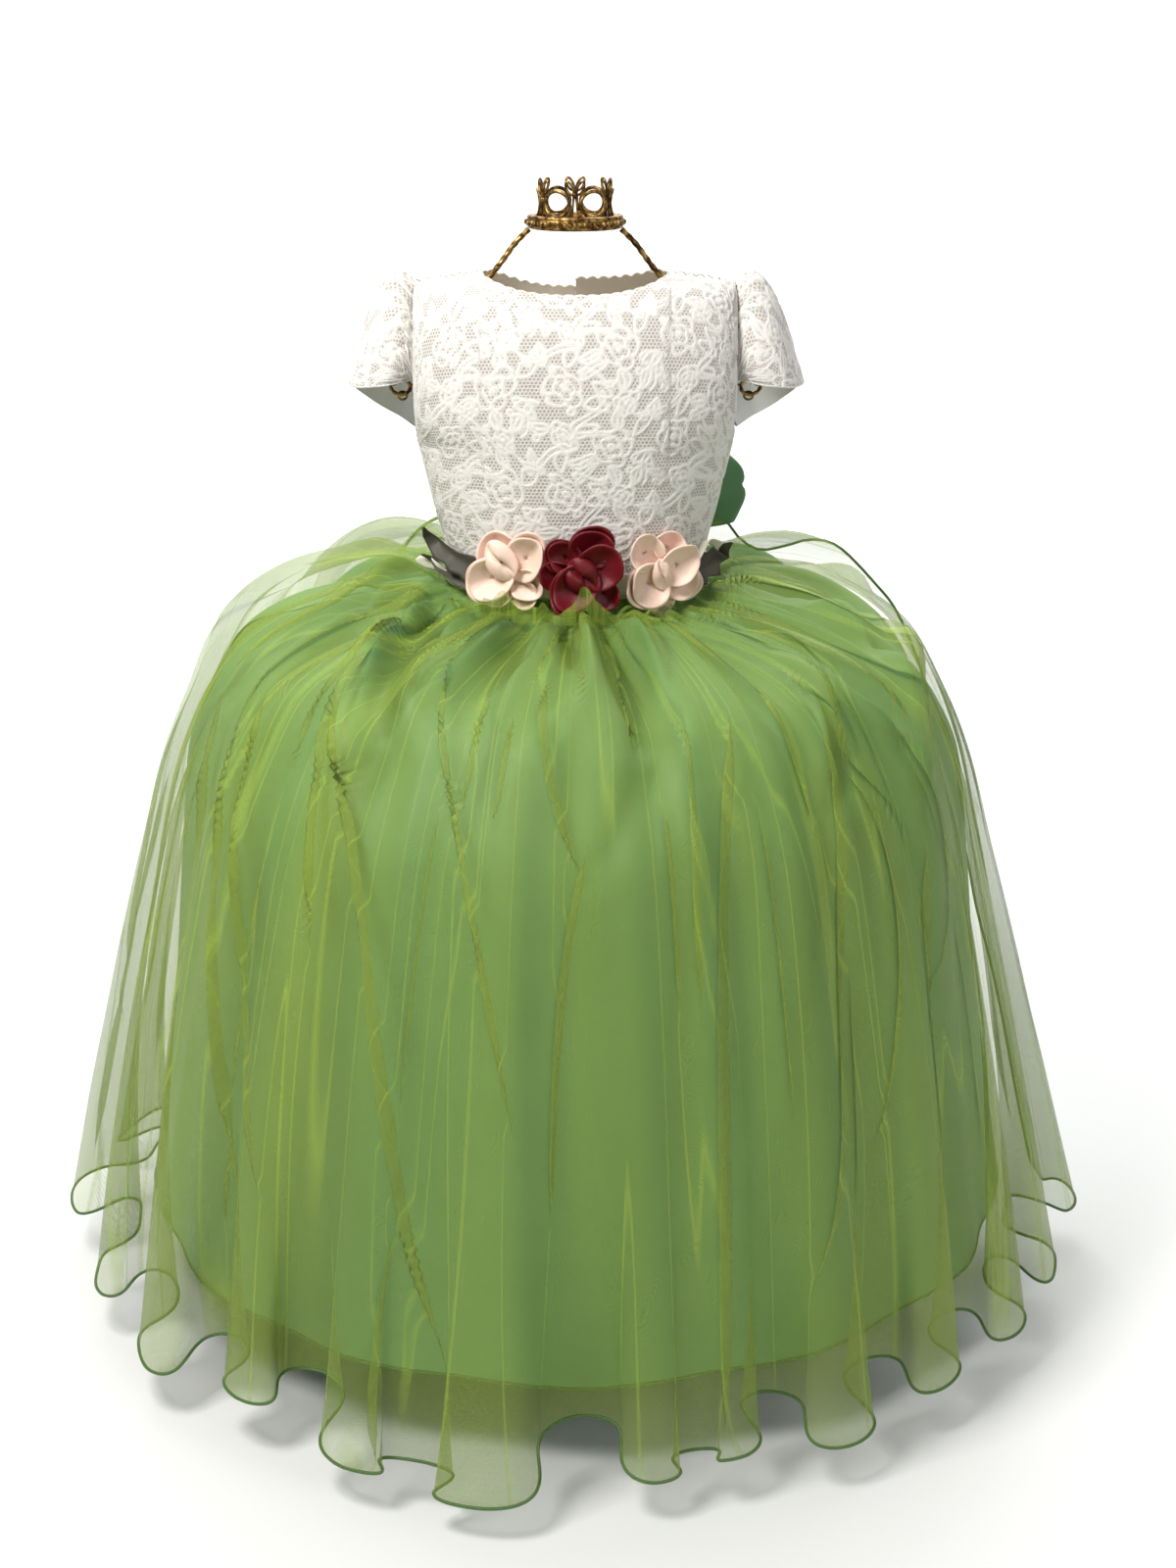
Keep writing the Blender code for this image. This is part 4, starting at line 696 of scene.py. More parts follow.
def satin_material(name, colour, roughness, thread=0.0005, relief=0.00006, sheen=0.15, contrast=0.14):
    """Woven satin whose colour varies a little from place to place."""
    made, tree, shader = new_material(name, roughness, Sheen_Weight=sheen, Sheen_Roughness=0.45,
                                      Specular_IOR_Level=0.4)
    weave = place_group(tree, woven_group(), Cloth=cloth_place(tree), Thread=thread, Uneven=0.6)
    dark, light = scaled(colour, 1 - contrast), scaled(colour, 1 + contrast)
    shade = mix_colour(tree, weave.outputs["Shade"], dark, light)
    tree.links.new(shade, shader.inputs["Base Color"])
    add_bump(tree, shader, weave.outputs["Height"], relief)
    return made


def crease_group():
    """Fine creases that run down a gathered cloth: 1 on a crease, and a soft banding between them."""
    if "long creases" in bpy.data.node_groups:
        return bpy.data.node_groups["long creases"]
    tree, given, result = effect_group(
        "long creases",
        [("Around", "NodeSocketFloat", 0.0), ("Down", "NodeSocketFloat", 0.0),
         ("Width", "NodeSocketFloat", 0.03)],
        [("Crease", "NodeSocketFloat"), ("Band", "NodeSocketFloat")])
    lines = []
    for across, down, shift in ((0.13, 0.5, 0.0), (0.21, 0.9, 7.3), (0.11, 0.6, 3.1)):
        place = node(tree, "ShaderNodeCombineXYZ")
        tree.links.new(math_node(tree, "MULTIPLY", given.outputs["Around"], across), place.inputs[0])
        tree.links.new(math_node(tree, "MULTIPLY", given.outputs["Down"], down), place.inputs[1])
        place.inputs[2].default_value = shift
        lines.append(noise_node(tree, place.outputs[0], 1.0, 1.0))
    narrow = []
    for line in lines[:2]:
        away = math_node(tree, "ABSOLUTE", math_node(tree, "SUBTRACT", line, 0.5))
        peak = math_node(tree, "SUBTRACT", 1.0, math_node(tree, "DIVIDE", away, given.outputs["Width"]))
        narrow.append(math_node(tree, "MAXIMUM", peak, 0.0))
    tree.links.new(math_node(tree, "MAXIMUM", narrow[0], narrow[1]), result.inputs["Crease"])
    tree.links.new(lines[2], result.inputs["Band"])
    return tree


def tulle_material(name, colour, sheer):
    """Sheer net: its alpha follows the holes, a faint cloudiness and its fine creases; the creases are also
    painted lighter as a highlight.
    """
    made, tree, shader = new_material(name, 0.55, Specular_IOR_Level=0.3)
    down = attribute_value(tree, "down")
    around = attribute_value(tree, "around")
    creases = place_group(tree, crease_group(), Around=around, Down=down, Width=0.011)
    cloth = cloth_place(tree)
    net = place_group(tree, net_group(), Cloth=cloth, Hole=0.0014, Thread_Share=0.5)
    cloud = noise_node(tree, cloth, 900.0, 1.0)
    grain = math_node(tree, "MULTIPLY", math_node(tree, "SUBTRACT", cloud, 0.5), 0.35)
    thread = math_node(tree, "MULTIPLY", net.outputs["Thread"], 0.22)
    folded = math_node(tree, "MULTIPLY", creases.outputs["Crease"], 0.20)
    banded = math_node(tree, "MULTIPLY", math_node(tree, "SUBTRACT", creases.outputs["Band"], 0.5), 0.6)
    alpha = math_node(tree, "ADD", math_node(tree, "ADD", grain, thread), sheer - 0.06)
    alpha = math_node(tree, "ADD", alpha, math_node(tree, "ADD", folded, banded))
    alpha = math_node(tree, "ADD", alpha, math_node(tree, "MULTIPLY", down, 0.10))
    tree.links.new(clamped(tree, alpha), shader.inputs["Alpha"])
    tint = mix_colour(tree, cloud, scaled(colour, 0.86), scaled(colour, 1.14))
    # Painted highlight: the fine creases are drawn a fifth lighter, as if light caught their folds.
    tint = mix_colour(tree, creases.outputs["Crease"], tint, scaled(colour, 1.2))
    tree.links.new(tint, shader.inputs["Base Color"])
    return made


def brass_material(name, colour, patina):
    """Old brass, dark brown in its hollows: here bright rubbed patches and dark brown patina are scattered by
    noise.
    """
    made, tree, shader = new_material(name, 0.42, 1.0)
    place = node(tree, "ShaderNodeNewGeometry")
    spots = noise_node(tree, place.outputs["Position"], 210.0, 4.0)
    share = node(tree, "ShaderNodeValToRGB")
    share.color_ramp.elements[0].position = 0.42
    share.color_ramp.elements[1].position = 0.64
    tree.links.new(spots, share.inputs[0])
    tree.links.new(mix_colour(tree, share.outputs[0], patina, colour), shader.inputs["Base Color"])
    rough = math_node(tree, "SUBTRACT", 0.62, math_node(tree, "MULTIPLY", share.outputs[0], 0.26))
    tree.links.new(rough, shader.inputs["Roughness"])
    add_bump(tree, shader, spots, 0.0004, 0.6)
    return made


def plain_thread_material(name, colour, roughness=0.7):
    """Rolled and overlocked edges."""
    made, tree, shader = new_material(name, roughness)
    place = node(tree, "ShaderNodeNewGeometry")
    twist = noise_node(tree, place.outputs["Position"], 900.0)
    tint = mix_colour(tree, twist, scaled(colour, 0.6), scaled(colour, 1.4))
    tree.links.new(tint, shader.inputs["Base Color"])
    add_bump(tree, shader, twist, 0.0003)
    return made


def finish_for(key):
    """The material with this key, made once from the colours in the sidebar."""
    if key in bpy.data.materials:
        return bpy.data.materials[key]
    colours = bpy.context.scene.dress_colours
    fabrics = bpy.context.scene.dress_fabrics
    makers = {
        "green satin": lambda: satin_material(key, colours.satin, 0.50),
        "satin hem": lambda: plain_thread_material(key, colours.hem),
        "green tulle": lambda: tulle_material(key, colours.tulle, fabrics.tulle_cover),
        "tulle hem": lambda: plain_thread_material(key, colours.hem),
        "sash satin": lambda: satin_material(key, colours.sash, 0.45, sheen=0.1),
        "cream ribbon": lambda: satin_material(key, colours.ribbon, 0.40, contrast=0.05),
        "zip tape": lambda: satin_material(key, colours.ribbon, 0.7, thread=0.0009, contrast=0.05),
        "peach satin": lambda: satin_material(key, colours.peach, 0.27, sheen=0.25, contrast=0.10),
        "burgundy satin": lambda: satin_material(key, colours.burgundy, 0.34, sheen=0.02, contrast=0.2),
        "dark satin": lambda: satin_material(key, colours.leaf, 0.36, sheen=0.05, contrast=0.2),
        "antique brass": lambda: brass_material(key, colours.brass, colours.patina),
        # The lace's net holes get a painted shade colour for the lining behind them.
        "ivory lace": lambda: lace_material(key, colours.lace, colours.painted_shade_under_lace),
        "ivory lining": lambda: satin_material(key, colours.lining, 0.7, contrast=0.05),
        "sleeve lining": lambda: satin_material(key, colours.sleeve_lining, 0.75, contrast=0.05),
    }
    return makers[key]()


def lace_material(name, colour, lining):
    """Corded lace over its lining: dense shapes, raised cords, and open net whose holes show a dark lining
    colour, painted shade for the lining in the lace's shadow.
    """
    made, tree, shader = new_material(name, 0.82, Sheen_Weight=0.1, Specular_IOR_Level=0.25)
    cloth = cloth_place(tree)
    net = place_group(tree, net_group(), Cloth=cloth, Hole=0.0031, Thread_Share=0.62)
    thread, dense = net.outputs["Thread"], attribute_value(tree, "dense")
    fine = place_group(tree, woven_group(), Cloth=cloth, Thread=0.0011, Uneven=0.9)
    filled = math_node(tree, "MAXIMUM", thread, dense)
    lacework = math_node(tree, "MAXIMUM", filled, attribute_value(tree, "cord"))
    # Painted shade: the lace is a tenth darker where its weave lies low.
    shaded = mix_colour(tree, fine.outputs["Height"], scaled(colour, 0.90), colour)
    # Painted shade: the net's holes take the dark lining colour, which stands for the lining lying in the
    # lace's shadow.
    tint = mix_colour(tree, lacework, lining, shaded)
    tree.links.new(tint, shader.inputs["Base Color"])
    threads = math_node(tree, "MULTIPLY", thread, math_node(tree, "SUBTRACT", 1.0, dense))
    relief = math_node(tree, "ADD", threads, math_node(tree, "MULTIPLY", fine.outputs["Height"], 0.45))
    add_bump(tree, shader, relief, 0.0007, 0.8)
    return made


# Skirts

def satin_points(azimuth, level):
    relief = satin_relief(azimuth, level)
    points = skirt_form(*SATIN_FORM, azimuth, level) + sink(SATIN_SINK, azimuth, level)
    return points + form_normals(SATIN_FORM, azimuth, level) * relief[..., None]


def make_satin_skirt():
    """Front and back of the gathered satin skirt, each from side seam to side seam, with a rolled hem."""
    satin = finish_for("green satin")
    halves = (("satin_skirt_front", -90.0, 420, 150, "underskirt_front", -1),
              ("satin_skirt_back", 90.0, 300, 120, "underskirt_back", 1))
    for name, start, columns, rows, replaced, side in halves:
        levels = levels_evenly(SATIN_FORM, rows, crowd=1.12)[0]
        azimuth, level = np.meshgrid(np.linspace(start, start + 180.0, columns), levels)
        points = satin_points(azimuth, level)
        points[..., 1] += side * SEAM_GAP / 2
        skirt = make_piece(name, points, grid_faces(rows, columns), satin, "green_satin", (replaced,),
                           arc_sheet(points))
        path = points[-1] + np.array((0.0, 0.0, -0.0006))
        hem = make_piece(name + "_hem", *wire(path, HEM_ROLL, 6), finish_for("satin hem"), "green_satin")


def make_shell(name, grid, thickness, finish, slot, replaces=(), closed=False):
    """A piece with two sides and closed rims, from a grid of its outer points."""
    points, faces = shell(grid, thickness, closed)
    cloth = arc_sheet(grid).reshape(-1, 2)
    return make_piece(name, points, faces, finish, slot, replaces, np.concatenate((cloth, cloth)))


def tulle_folds():
    """The large doubled folds, then narrow ones that lie unevenly between them from waist to hem."""
    draw = np.random.default_rng(5)
    folds = list(TULLE_FOLDS)
    for k in range(SMALL_TULLE_FOLDS):
        azimuth = -158.0 + 262.0 * (k + draw.uniform(0.1, 0.9)) / SMALL_TULLE_FOLDS
        start = draw.choice((1.2, 1.8, 3.0, 5.4, 7.0, 8.0))
        length = draw.uniform(2.4, 5.0) if start < 4 else draw.uniform(2.0, 3.8)
        drift = draw.uniform(-1.6, 1.6)
        route = ((azimuth, start), (azimuth + drift * 0.4, start + length * 0.5),
                 (azimuth + drift, start + length))
        folds.append(TulleFold(draw.uniform(1.5, 2.2), draw.uniform(0.6, 0.9), route))
    return folds


def straight_route(route, level):
    """A fold's nearly straight line down the skirt, and its share of the way."""
    azimuths = np.array([point[0] for point in route], float)
    levels = np.array([point[1] for point in route], float)
    line = np.polyfit(levels, azimuths, 2 if len(route) > 3 else 1)
    return np.polyval(line, level), (level - levels[0]) / (levels[-1] - levels[0])


def fold_half_width(fold, share, level):
    """Half width of a doubled fold in degrees: broad near the waist and narrow at its lower end."""
    spread = 1.0 + 1.4 * (1 - ramp(1.5, 5.0, level))
    return TULLE_NARROW * fold.half_width * spread * (1.0 - 0.45 * np.clip(share, 0.0, 1.0)**3)


def tulle_points(azimuth, level):
    """The overskirt: its form, the satin that it lies on, doubled folds, and the wired hem's wave."""
    moved = azimuth.copy()
    relief = np.full_like(azimuth, TULLE_LIFT) * ramp(0.2, 1.5, level)
    taken = np.zeros_like(azimuth)
    for fold in tulle_folds():
        centre, share = straight_route(fold.route, level)
        half_width = fold_half_width(fold, share, level)
        place = (moved - centre) / half_width
        inside = (np.abs(place) < 1.0) & (share > 0.0) & (share < 1.0)
        double = fold.double * np.clip(np.minimum(share, 1 - share) / DOUBLE_EASE, 0.0, 1.0)**0.7
        wave = np.where(inside, np.sin(math.pi * np.clip(place, -1.0, 1.0)), 0.0)
        double = double * (1.0 - CROSSING_LOSS * taken)
        covers = np.where((share > 0.0) & (share < 1.0), double * np.exp(-0.5 * place**2), 0.0)
        taken = np.maximum(taken, covers)
        moved = moved - half_width * double * wave
        relief += 0.0016 * double * wave
    lies = 1 - ramp(6.0, 9.0, level)
    satin = satin_relief(azimuth, level)
    relief += lies * np.where(satin > 0, 0.95 * satin, 0.45 * satin)
    free = ramp(5.0, 8.0, level)
    for count, height, seed in ((31, 0.0022, 61), (53, 0.0013, 62), (83, 0.0007, 63)):
        drift = 5.0 * wander(moved, seed + 5, 2.0) * (level / LAST_LEVEL)
        relief += free * height * np.sin(np.radians(moved + drift) * count + 2.0 * wander(moved, seed, 3.0))
    turn_at = np.arange(HEM_TURNS.shape[1])
    wave = skirt_row(WAVE, level)
    phase = np.interp(moved, HEM_TURNS[0], turn_at) * math.pi
    spacing = np.interp(moved, HEM_TURNS[0][:-1], np.diff(HEM_TURNS[0]))
    sway = HEM_SWAY * np.sin(2 * phase) * spacing / math.pi * wave**2.2
    swayed = moved + sway
    reach = wave * smooth(HEM_TURNS[0], HEM_TURNS[1], moved)
    drop = wave**2 * smooth(HEM_TURNS[0], HEM_TURNS[2], moved)
    points = skirt_form(*TULLE_FORM, swayed, level) + sink(TULLE_SINK, swayed, level)
    points += form_normals(TULLE_FORM, swayed, level) * relief[..., None]
    east, south = turned_by(swayed)
    points[..., 0] += reach * east
    points[..., 1] += reach * south
    points[..., 2] -= drop
    return points


def crowd_on_folds(azimuth, level):
    """The same rows of azimuths, closer together where a fold crosses the row, so its edges stay clean."""
    folds = tulle_folds()
    result = azimuth.copy()
    for row in range(len(azimuth)):
        fine = np.linspace(azimuth[row, 0], azimuth[row, -1], 3000)
        height = level[row, 0]
        weight = np.ones_like(fine)
        for fold in folds:
            centre, share = straight_route(fold.route, height)
            if 0.0 < share < 1.0:
                half_width = fold_half_width(fold, share, height)
                ease = ramp(0.0, 0.4, min(share, 1 - share))
                near = ease * FOLD_CROWD * np.exp(-((fine - centre) / (1.3 * half_width))**2)
                weight = np.maximum(weight, 1.0 + near)
        run = np.concatenate(((0.0,), np.cumsum(0.5 * (weight[1:] + weight[:-1]))))
        result[row] = np.interp(np.linspace(0.0, run[-1], azimuth.shape[1]), run, fine)
    return result


def make_tulle_skirt():
    """The sheer overskirt, open at the back, with dark rolled edges."""
    tulle = finish_for("green tulle")
    hem_finish = finish_for("tulle hem")
    parts = (("tulle_front", 980, 101, "overskirt_front"), ("tulle_back", 300, 96, "overskirt_back"))
    for name, columns, rows, replaced in parts:
        levels, run = levels_evenly(TULLE_FORM, rows, crowd=1.2)
        share = np.linspace(0.0, 1.0, columns)[None, :] * np.ones((rows, 1))
        level = levels[:, None] * np.ones((1, columns))
        if name == "tulle_front":
            azimuth = -90.0 + (skirt_row(RIGHT_EDGE, level) + 90.0) * share
            side = -1
        else:
            left = skirt_row(LEFT_EDGE, level)
            azimuth = left + (-90.0 - left) * share
            side = 1
        azimuth = crowd_on_folds(azimuth, level)
        points = tulle_points(azimuth, level)
        points[..., 1] += side * SEAM_GAP / 2
        masks = {"around": azimuth, "down": run[:, None] * np.ones_like(azimuth)}
        skirt = make_piece(name, points, grid_faces(rows, columns), tulle, "green_tulle", (replaced,),
                           arc_sheet(points), masks=masks)
        edge = points[:, -1] if name == "tulle_front" else points[:, 0]
        route = np.concatenate((points[-1] if name == "tulle_front" else points[-1, ::-1], edge[-2::-1]))
        hem = make_piece(name + "_hem", *wire(route, HEM_ROLL, 5), hem_finish, "green_tulle")


# The loose gathered edge of the tulle over the flowers: azimuths, heights, and the levels it starts at.
HEADER_AT = (-62, -46, -38, -28, -20, -12, -7, -2, 3, 8, 13, 18, 26, 36, 48)
HEADER_RISE = (0.002, 0.007, 0.014, 0.018, 0.016, 0.013, 0.008, 0.015, 0.021, 0.019, 0.009, 0.006, 0.004,
               0.004, 0.001)
HEADER_LEVEL = (1.35, 1.9, 2.15, 2.25, 2.3, 2.35, 2.4, 2.4, 2.4, 2.35, 2.3, 2.2, 2.0, 1.7, 1.35)


def make_header():
    """The tulle's loose gathered edge, which stands up over the feet of the flowers."""
    rows, columns = 14, 300
    azimuth, rise = np.meshgrid(np.linspace(-62.0, 48.0, columns), np.linspace(0.0, 1.0, rows))
    level = smooth(HEADER_AT, HEADER_LEVEL, azimuth) - 0.1 * rise
    ruffle = np.sin(np.radians(azimuth) * 58 + 2.5 * wander(azimuth, 91, 6.0)) * 0.5
    ruffle += np.sin(np.radians(azimuth) * 31 + 1.5) * 0.5
    east, south = turned_by(azimuth)
    points = skirt_form(*TULLE_FORM, azimuth, level) + sink(TULLE_SINK, azimuth, level)
    lift = TULLE_LIFT + 0.0012 + 0.95 * np.maximum(satin_relief(azimuth, level), 0.0)
    points += form_normals(TULLE_FORM, azimuth, level) * lift[..., None]
    stand = 0.0030 * np.sin(0.5 * math.pi * rise) + 0.0022 * ruffle * rise
    height = smooth(HEADER_AT, HEADER_RISE, azimuth) * (rise + 0.12 * ruffle * rise**2)
    points[..., 0] += east * stand
    points[..., 1] += south * stand
    points[..., 2] += height
    frill = make_piece("tulle_header", points, grid_faces(rows, columns), finish_for("green tulle"),
                       "green_tulle", (), arc_sheet(points), masks={"around": azimuth, "down": 0.02 * rise})


# Bodice and sleeves

LACE_TILE = (0.092, 0.078)
NECK_SCALLOP = 0.009
CORD_HALF = 0.0011
LACE_STEP = 0.0005
# Where the lining and the turned edge lie, as shares of the wall behind the lace.
LINING_DEPTH = 0.8
EDGE_DEPTH = 0.35
LACE_EDGE_R = 0.0008
LINING_COLUMN_STEP = 3
ROSES = (
    # x, y, size, turn in degrees
    (0.020, 0.019, 0.0150, 15), (0.064, 0.055, 0.0160, 50), (0.069, 0.013, 0.0100, 80),
    (0.026, 0.062, 0.0105, 35),
)
LEAVES = (
    # x, y, length, half width, direction in degrees, veined
    (0.034, 0.030, 0.021, 0.0046, 35, 1), (0.036, 0.012, 0.020, 0.0050, -20, 0),
    (0.006, 0.034, 0.019, 0.0044, 110, 1), (0.022, 0.036, 0.019, 0.0042, 70, 0),
    (0.004, 0.008, 0.017, 0.0045, 205, 0), (0.048, 0.050, 0.020, 0.0046, 195, 1),
    (0.078, 0.064, 0.019, 0.0050, 40, 0), (0.066, 0.071, 0.018, 0.0044, 100, 1),
    (0.080, 0.046, 0.021, 0.0046, -35, 0), (0.060, 0.039, 0.018, 0.0042, -70, 1),
    (0.078, 0.022, 0.016, 0.0040, 60, 1), (0.058, 0.018, 0.017, 0.0042, 150, 0),
    (0.035, 0.066, 0.018, 0.0042, 15, 0), (0.015, 0.066, 0.017, 0.0042, 170, 1),
)
SCROLLS = (
    # x, y, size, direction, winding
    (0.042, 0.004, 0.0200, 15, 1), (0.010, 0.047, 0.0180, 60, -1), (0.048, 0.068, 0.0190, -30, 1),
    (0.087, 0.033, 0.0190, 95, -1), (0.046, 0.032, 0.0160, 120, 1), (0.086, 0.002, 0.0150, 20, -1),
)
SMALL_RINGS = ((0.050, 0.013), (0.012, 0.031), (0.076, 0.035), (0.041, 0.045), (0.004, 0.060), (0.085, 0.075),
               (0.030, 0.004), (0.056, 0.027))


def dense_line(points, step=LACE_STEP):
    points = np.asarray(points, float)
    run = run_along(points)
    count = max(2, int(run[-1] / step))
    at = np.linspace(0.0, run[-1], count)
    return np.stack([np.interp(at, run, points[:, axis]) for axis in (0, 1)], -1)


def rose_lines(x, y, radius, turn):
    """A rose drawn in cord: outer petals, inner petals and a curl at its heart."""
    lines = []
    start = math.radians(turn)
    for count, inner, swell, half in ((5, 0.66, 0.34, 0.72), (4, 0.36, 0.20, 0.92)):
        for k in range(count):
            share = np.linspace(-1.0, 1.0, 26)
            angles = half * share + start + 0.6 * inner + 2 * math.pi * k / count
            reach = radius * (inner + swell * np.cos(1.45 * share)**0.8)
            lines.append(np.stack((x + reach * np.cos(angles), y + reach * np.sin(angles)), -1))
    curl = np.linspace(0.0, 4.6 * math.pi / 2, 30)
    reach = radius * (0.22 - 0.17 * np.linspace(0, 1, 30))
    lines.append(np.stack((x + reach * np.cos(curl), y + reach * np.sin(curl)), -1))
    return lines


def leaf_lines(x, y, length, half, direction, veined):
    """A pointed leaf: a scalloped outline, and a vein or an inner outline."""
    share = np.linspace(0.0, 1.0, 40)
    width = half * np.sin(math.pi * share**0.85)**0.8 * (0.88 + 0.16 * np.abs(np.sin(4.5 * math.pi * share)))
    ahead = np.array((math.cos(math.radians(direction)), math.sin(math.radians(direction))))
    aside = np.array((-ahead[1], ahead[0]))
    middle = np.array((x, y)) + np.outer(share * length, ahead)
    middle += np.outer(0.10 * length * np.sin(math.pi * share), aside)
    lines = [middle + np.outer(width, aside), middle - np.outer(width, aside)]
    if veined:
        lines.append(middle[6:34])
    return lines


def scroll_line(x, y, size, direction, winding):
    """An S-shaped scroll that curls in at both ends."""
    share = np.linspace(-1.0, 1.0, 90)
    bend = winding * (2.2 * np.sign(share) * np.abs(share)**1.5 * 3.1)
    heading = math.radians(direction) + np.cumsum(bend) * (2.0 / 90)
    step = size * 2.6 / 90 * (1.15 - 0.6 * np.abs(share))
    path = np.cumsum(np.stack((step * np.cos(heading), step * np.sin(heading)), -1), 0)
    return path - path[45] + np.array((x, y))


def lace_design():
    """Cords of one repeat of the lace."""
    lines = []
    for rose in ROSES:
        lines += rose_lines(*rose)
    for leaf in LEAVES:
        lines += leaf_lines(*leaf)
    for scroll in SCROLLS:
        main = scroll_line(*scroll)
        lines.append(main)
        lines.append(main[20:70] + np.array((0.0032, -0.0028)))
    ring = np.linspace(0.0, 2 * math.pi, 16)
    for x, y in SMALL_RINGS:
        lines.append(np.stack((x + 0.0024 * np.cos(ring), y + 0.0024 * np.sin(ring)), -1))
    return [dense_line(line) for line in lines]


def repeat_shifts():
    """Neighbouring repeats: each column of the pattern hangs half a repeat lower than the last."""
    wide, tall = LACE_TILE
    return [np.array((i * wide, j * tall + (i % 2) * tall / 2))
            for i in (-1, 0, 1) for j in (-2, -1, 0, 1, 2)]


class LaceBoard:
    """Looks up how far places of the cloth lie from the lace's cords."""

    def __init__(self):
        wide, tall = LACE_TILE
        margin = 0.004
        spots = np.concatenate([line + shift for line in lace_design() for shift in repeat_shifts()])
        near = ((spots[:, 0] > -margin) & (spots[:, 0] < wide + margin)
                & (spots[:, 1] > -margin) & (spots[:, 1] < tall + margin))
        spots = spots[near]
        self.tree = KDTree(len(spots))
        for number, (x, y) in enumerate(spots):
            self.tree.insert((x, y, 0.0), number)
        self.tree.balance()

    def read(self, cloth):
        wide, tall = LACE_TILE
        x, y = cloth.T
        pulled_x = (x + 0.0040 * np.sin(y / 0.019 + 1.4 * np.sin(x / 0.047))
                    + 0.0016 * np.sin(y / 0.0061 + x / 0.013))
        pulled_y = (y + 0.0040 * np.sin(x / 0.023 + 1.1 * np.sin(y / 0.039))
                    + 0.0016 * np.sin(x / 0.0057 + 2.0))
        column = np.floor(pulled_x / wide)
        across = pulled_x - column * wide
        up = (pulled_y - (column % 2) * tall / 2) % tall
        return np.array([self.tree.find((x, y, 0.0))[2] for x, y in zip(across, up)])


def fall_off(across):
    return np.maximum(0.0, 1.0 - np.abs(across)**BODY_ROUND)**(1 / BODY_ROUND)


def shoulder_z(x):
    past_neck = np.maximum(0.0, np.abs(x) - NECK_X)
    return NECK_POINT_Z + (SHOULDER_END_Z - NECK_POINT_Z) * past_neck / (ARMHOLE_X - NECK_X)


def bodice_low(side, across, height):
    half = smooth(SECTION_HEIGHTS, SECTION_HALF_WIDTHS, height)
    depth = smooth(SECTION_HEIGHTS, SECTION_FRONTS if side < 0 else SECTION_BACKS, height)
    return np.stack((half * across, side * depth * fall_off(across), height), -1)


def bodice_high(side, across, rise):
    depth = (SECTION_FRONTS if side < 0 else SECTION_BACKS)[-1]
    depth = depth * np.maximum(0.0, 1 - rise**SHOULDER_ROUND)**(1 / SHOULDER_ROUND)
    edge = smooth(ARMHOLE_RISES, ARMHOLE_FRONTS if side < 0 else ARMHOLE_BACKS, rise)
    x = ARMHOLE_X * across
    y = edge + np.maximum(0.0, depth - edge) * fall_off(across)
    return np.stack((x, side * y, UNDERARM_Z + rise * (shoulder_z(x) - UNDERARM_Z)), -1)


def neckline_rise(side, across, neck_depth):
    x = np.abs(ARMHOLE_X * across)
    inside = np.minimum(x / NECK_X, 1.0)
    wanted = neck_depth * (1 - inside**NECK_ROUND)**(1 / NECK_ROUND)
    low, high = np.full_like(across, 0.5), np.ones_like(across)
    for _ in range(40):
        middle = (low + high) / 2
        above = np.abs(bodice_high(side, across, middle)[..., 1]) > wanted
        low, high = np.where(above, middle, low), np.where(above, high, middle)
    return np.where(x >= NECK_X - 1e-6, 1.0, low)


def panel_points(side, columns, rows, neck_depth):
    """A bodice panel as a grid whose rows lie evenly from the waist to its upper edge."""
    fine_low = np.linspace(WAIST_Z, UNDERARM_Z, 60)
    fine_turn = np.linspace(0.0, 1.0, 240)[1:]
    top = np.arcsin(neckline_rise(side, columns, neck_depth)**(SHOULDER_ROUND / 2))
    points = np.empty((rows, len(columns), 3))
    run_up = np.empty((rows, len(columns)))
    for number, (across, end) in enumerate(zip(columns, top)):
        rise = np.sin(fine_turn * end)**(2 / SHOULDER_ROUND)
        low = bodice_low(side, np.full_like(fine_low, across), fine_low)
        high = bodice_high(side, np.full_like(rise, across), rise)
        path = np.concatenate((low, high))
        run = run_along(path)
        at = np.linspace(0.0, run[-1], rows)
        points[:, number] = np.stack([np.interp(at, run, path[:, axis]) for axis in range(3)], -1)
        run_up[:, number] = at
    return points, run_up


def chest_run(side):
    """Shares of the half width, and the length along the chest's oval from the centre line to each."""
    fine = np.sin(np.linspace(0.0, math.pi / 2, 400))
    path = bodice_low(side, fine, np.full_like(fine, UNDERARM_Z))
    run = run_along(path)
    return fine, run


def even_columns(side, count, both_sides):
    """Shares of the half width that lie evenly round the chest."""
    fine, run = chest_run(side)
    if both_sides:
        wanted = np.linspace(-run[-1], run[-1], count)
    else:
        wanted = np.linspace(0.0, run[-1], count)
    return np.sign(wanted) * np.interp(np.abs(wanted), run, fine), wanted


def raise_lace(points, normals, cloth, board, cord_height):
    """Push a grid out where the cords lie; give the masks that its finish reads."""
    shape = points.shape[:2]
    away = board.read(cloth.reshape(-1, 2)).reshape(shape)
    cord = np.sqrt(np.clip(1 - (away / CORD_HALF)**2, 0.0, 1.0))
    dense = 1 - ramp(CORD_HALF * 0.9, CORD_HALF * 2.1, away)
    lift = np.maximum(cord * cord_height, dense * cord_height * 0.45)
    lift += np.random.default_rng(77).normal(0.0, 0.00006, shape)
    masks = {"cord": np.clip(cord * 1.6, 0.0, 1.0), "dense": dense}
    return points + normals * lift[..., None], masks


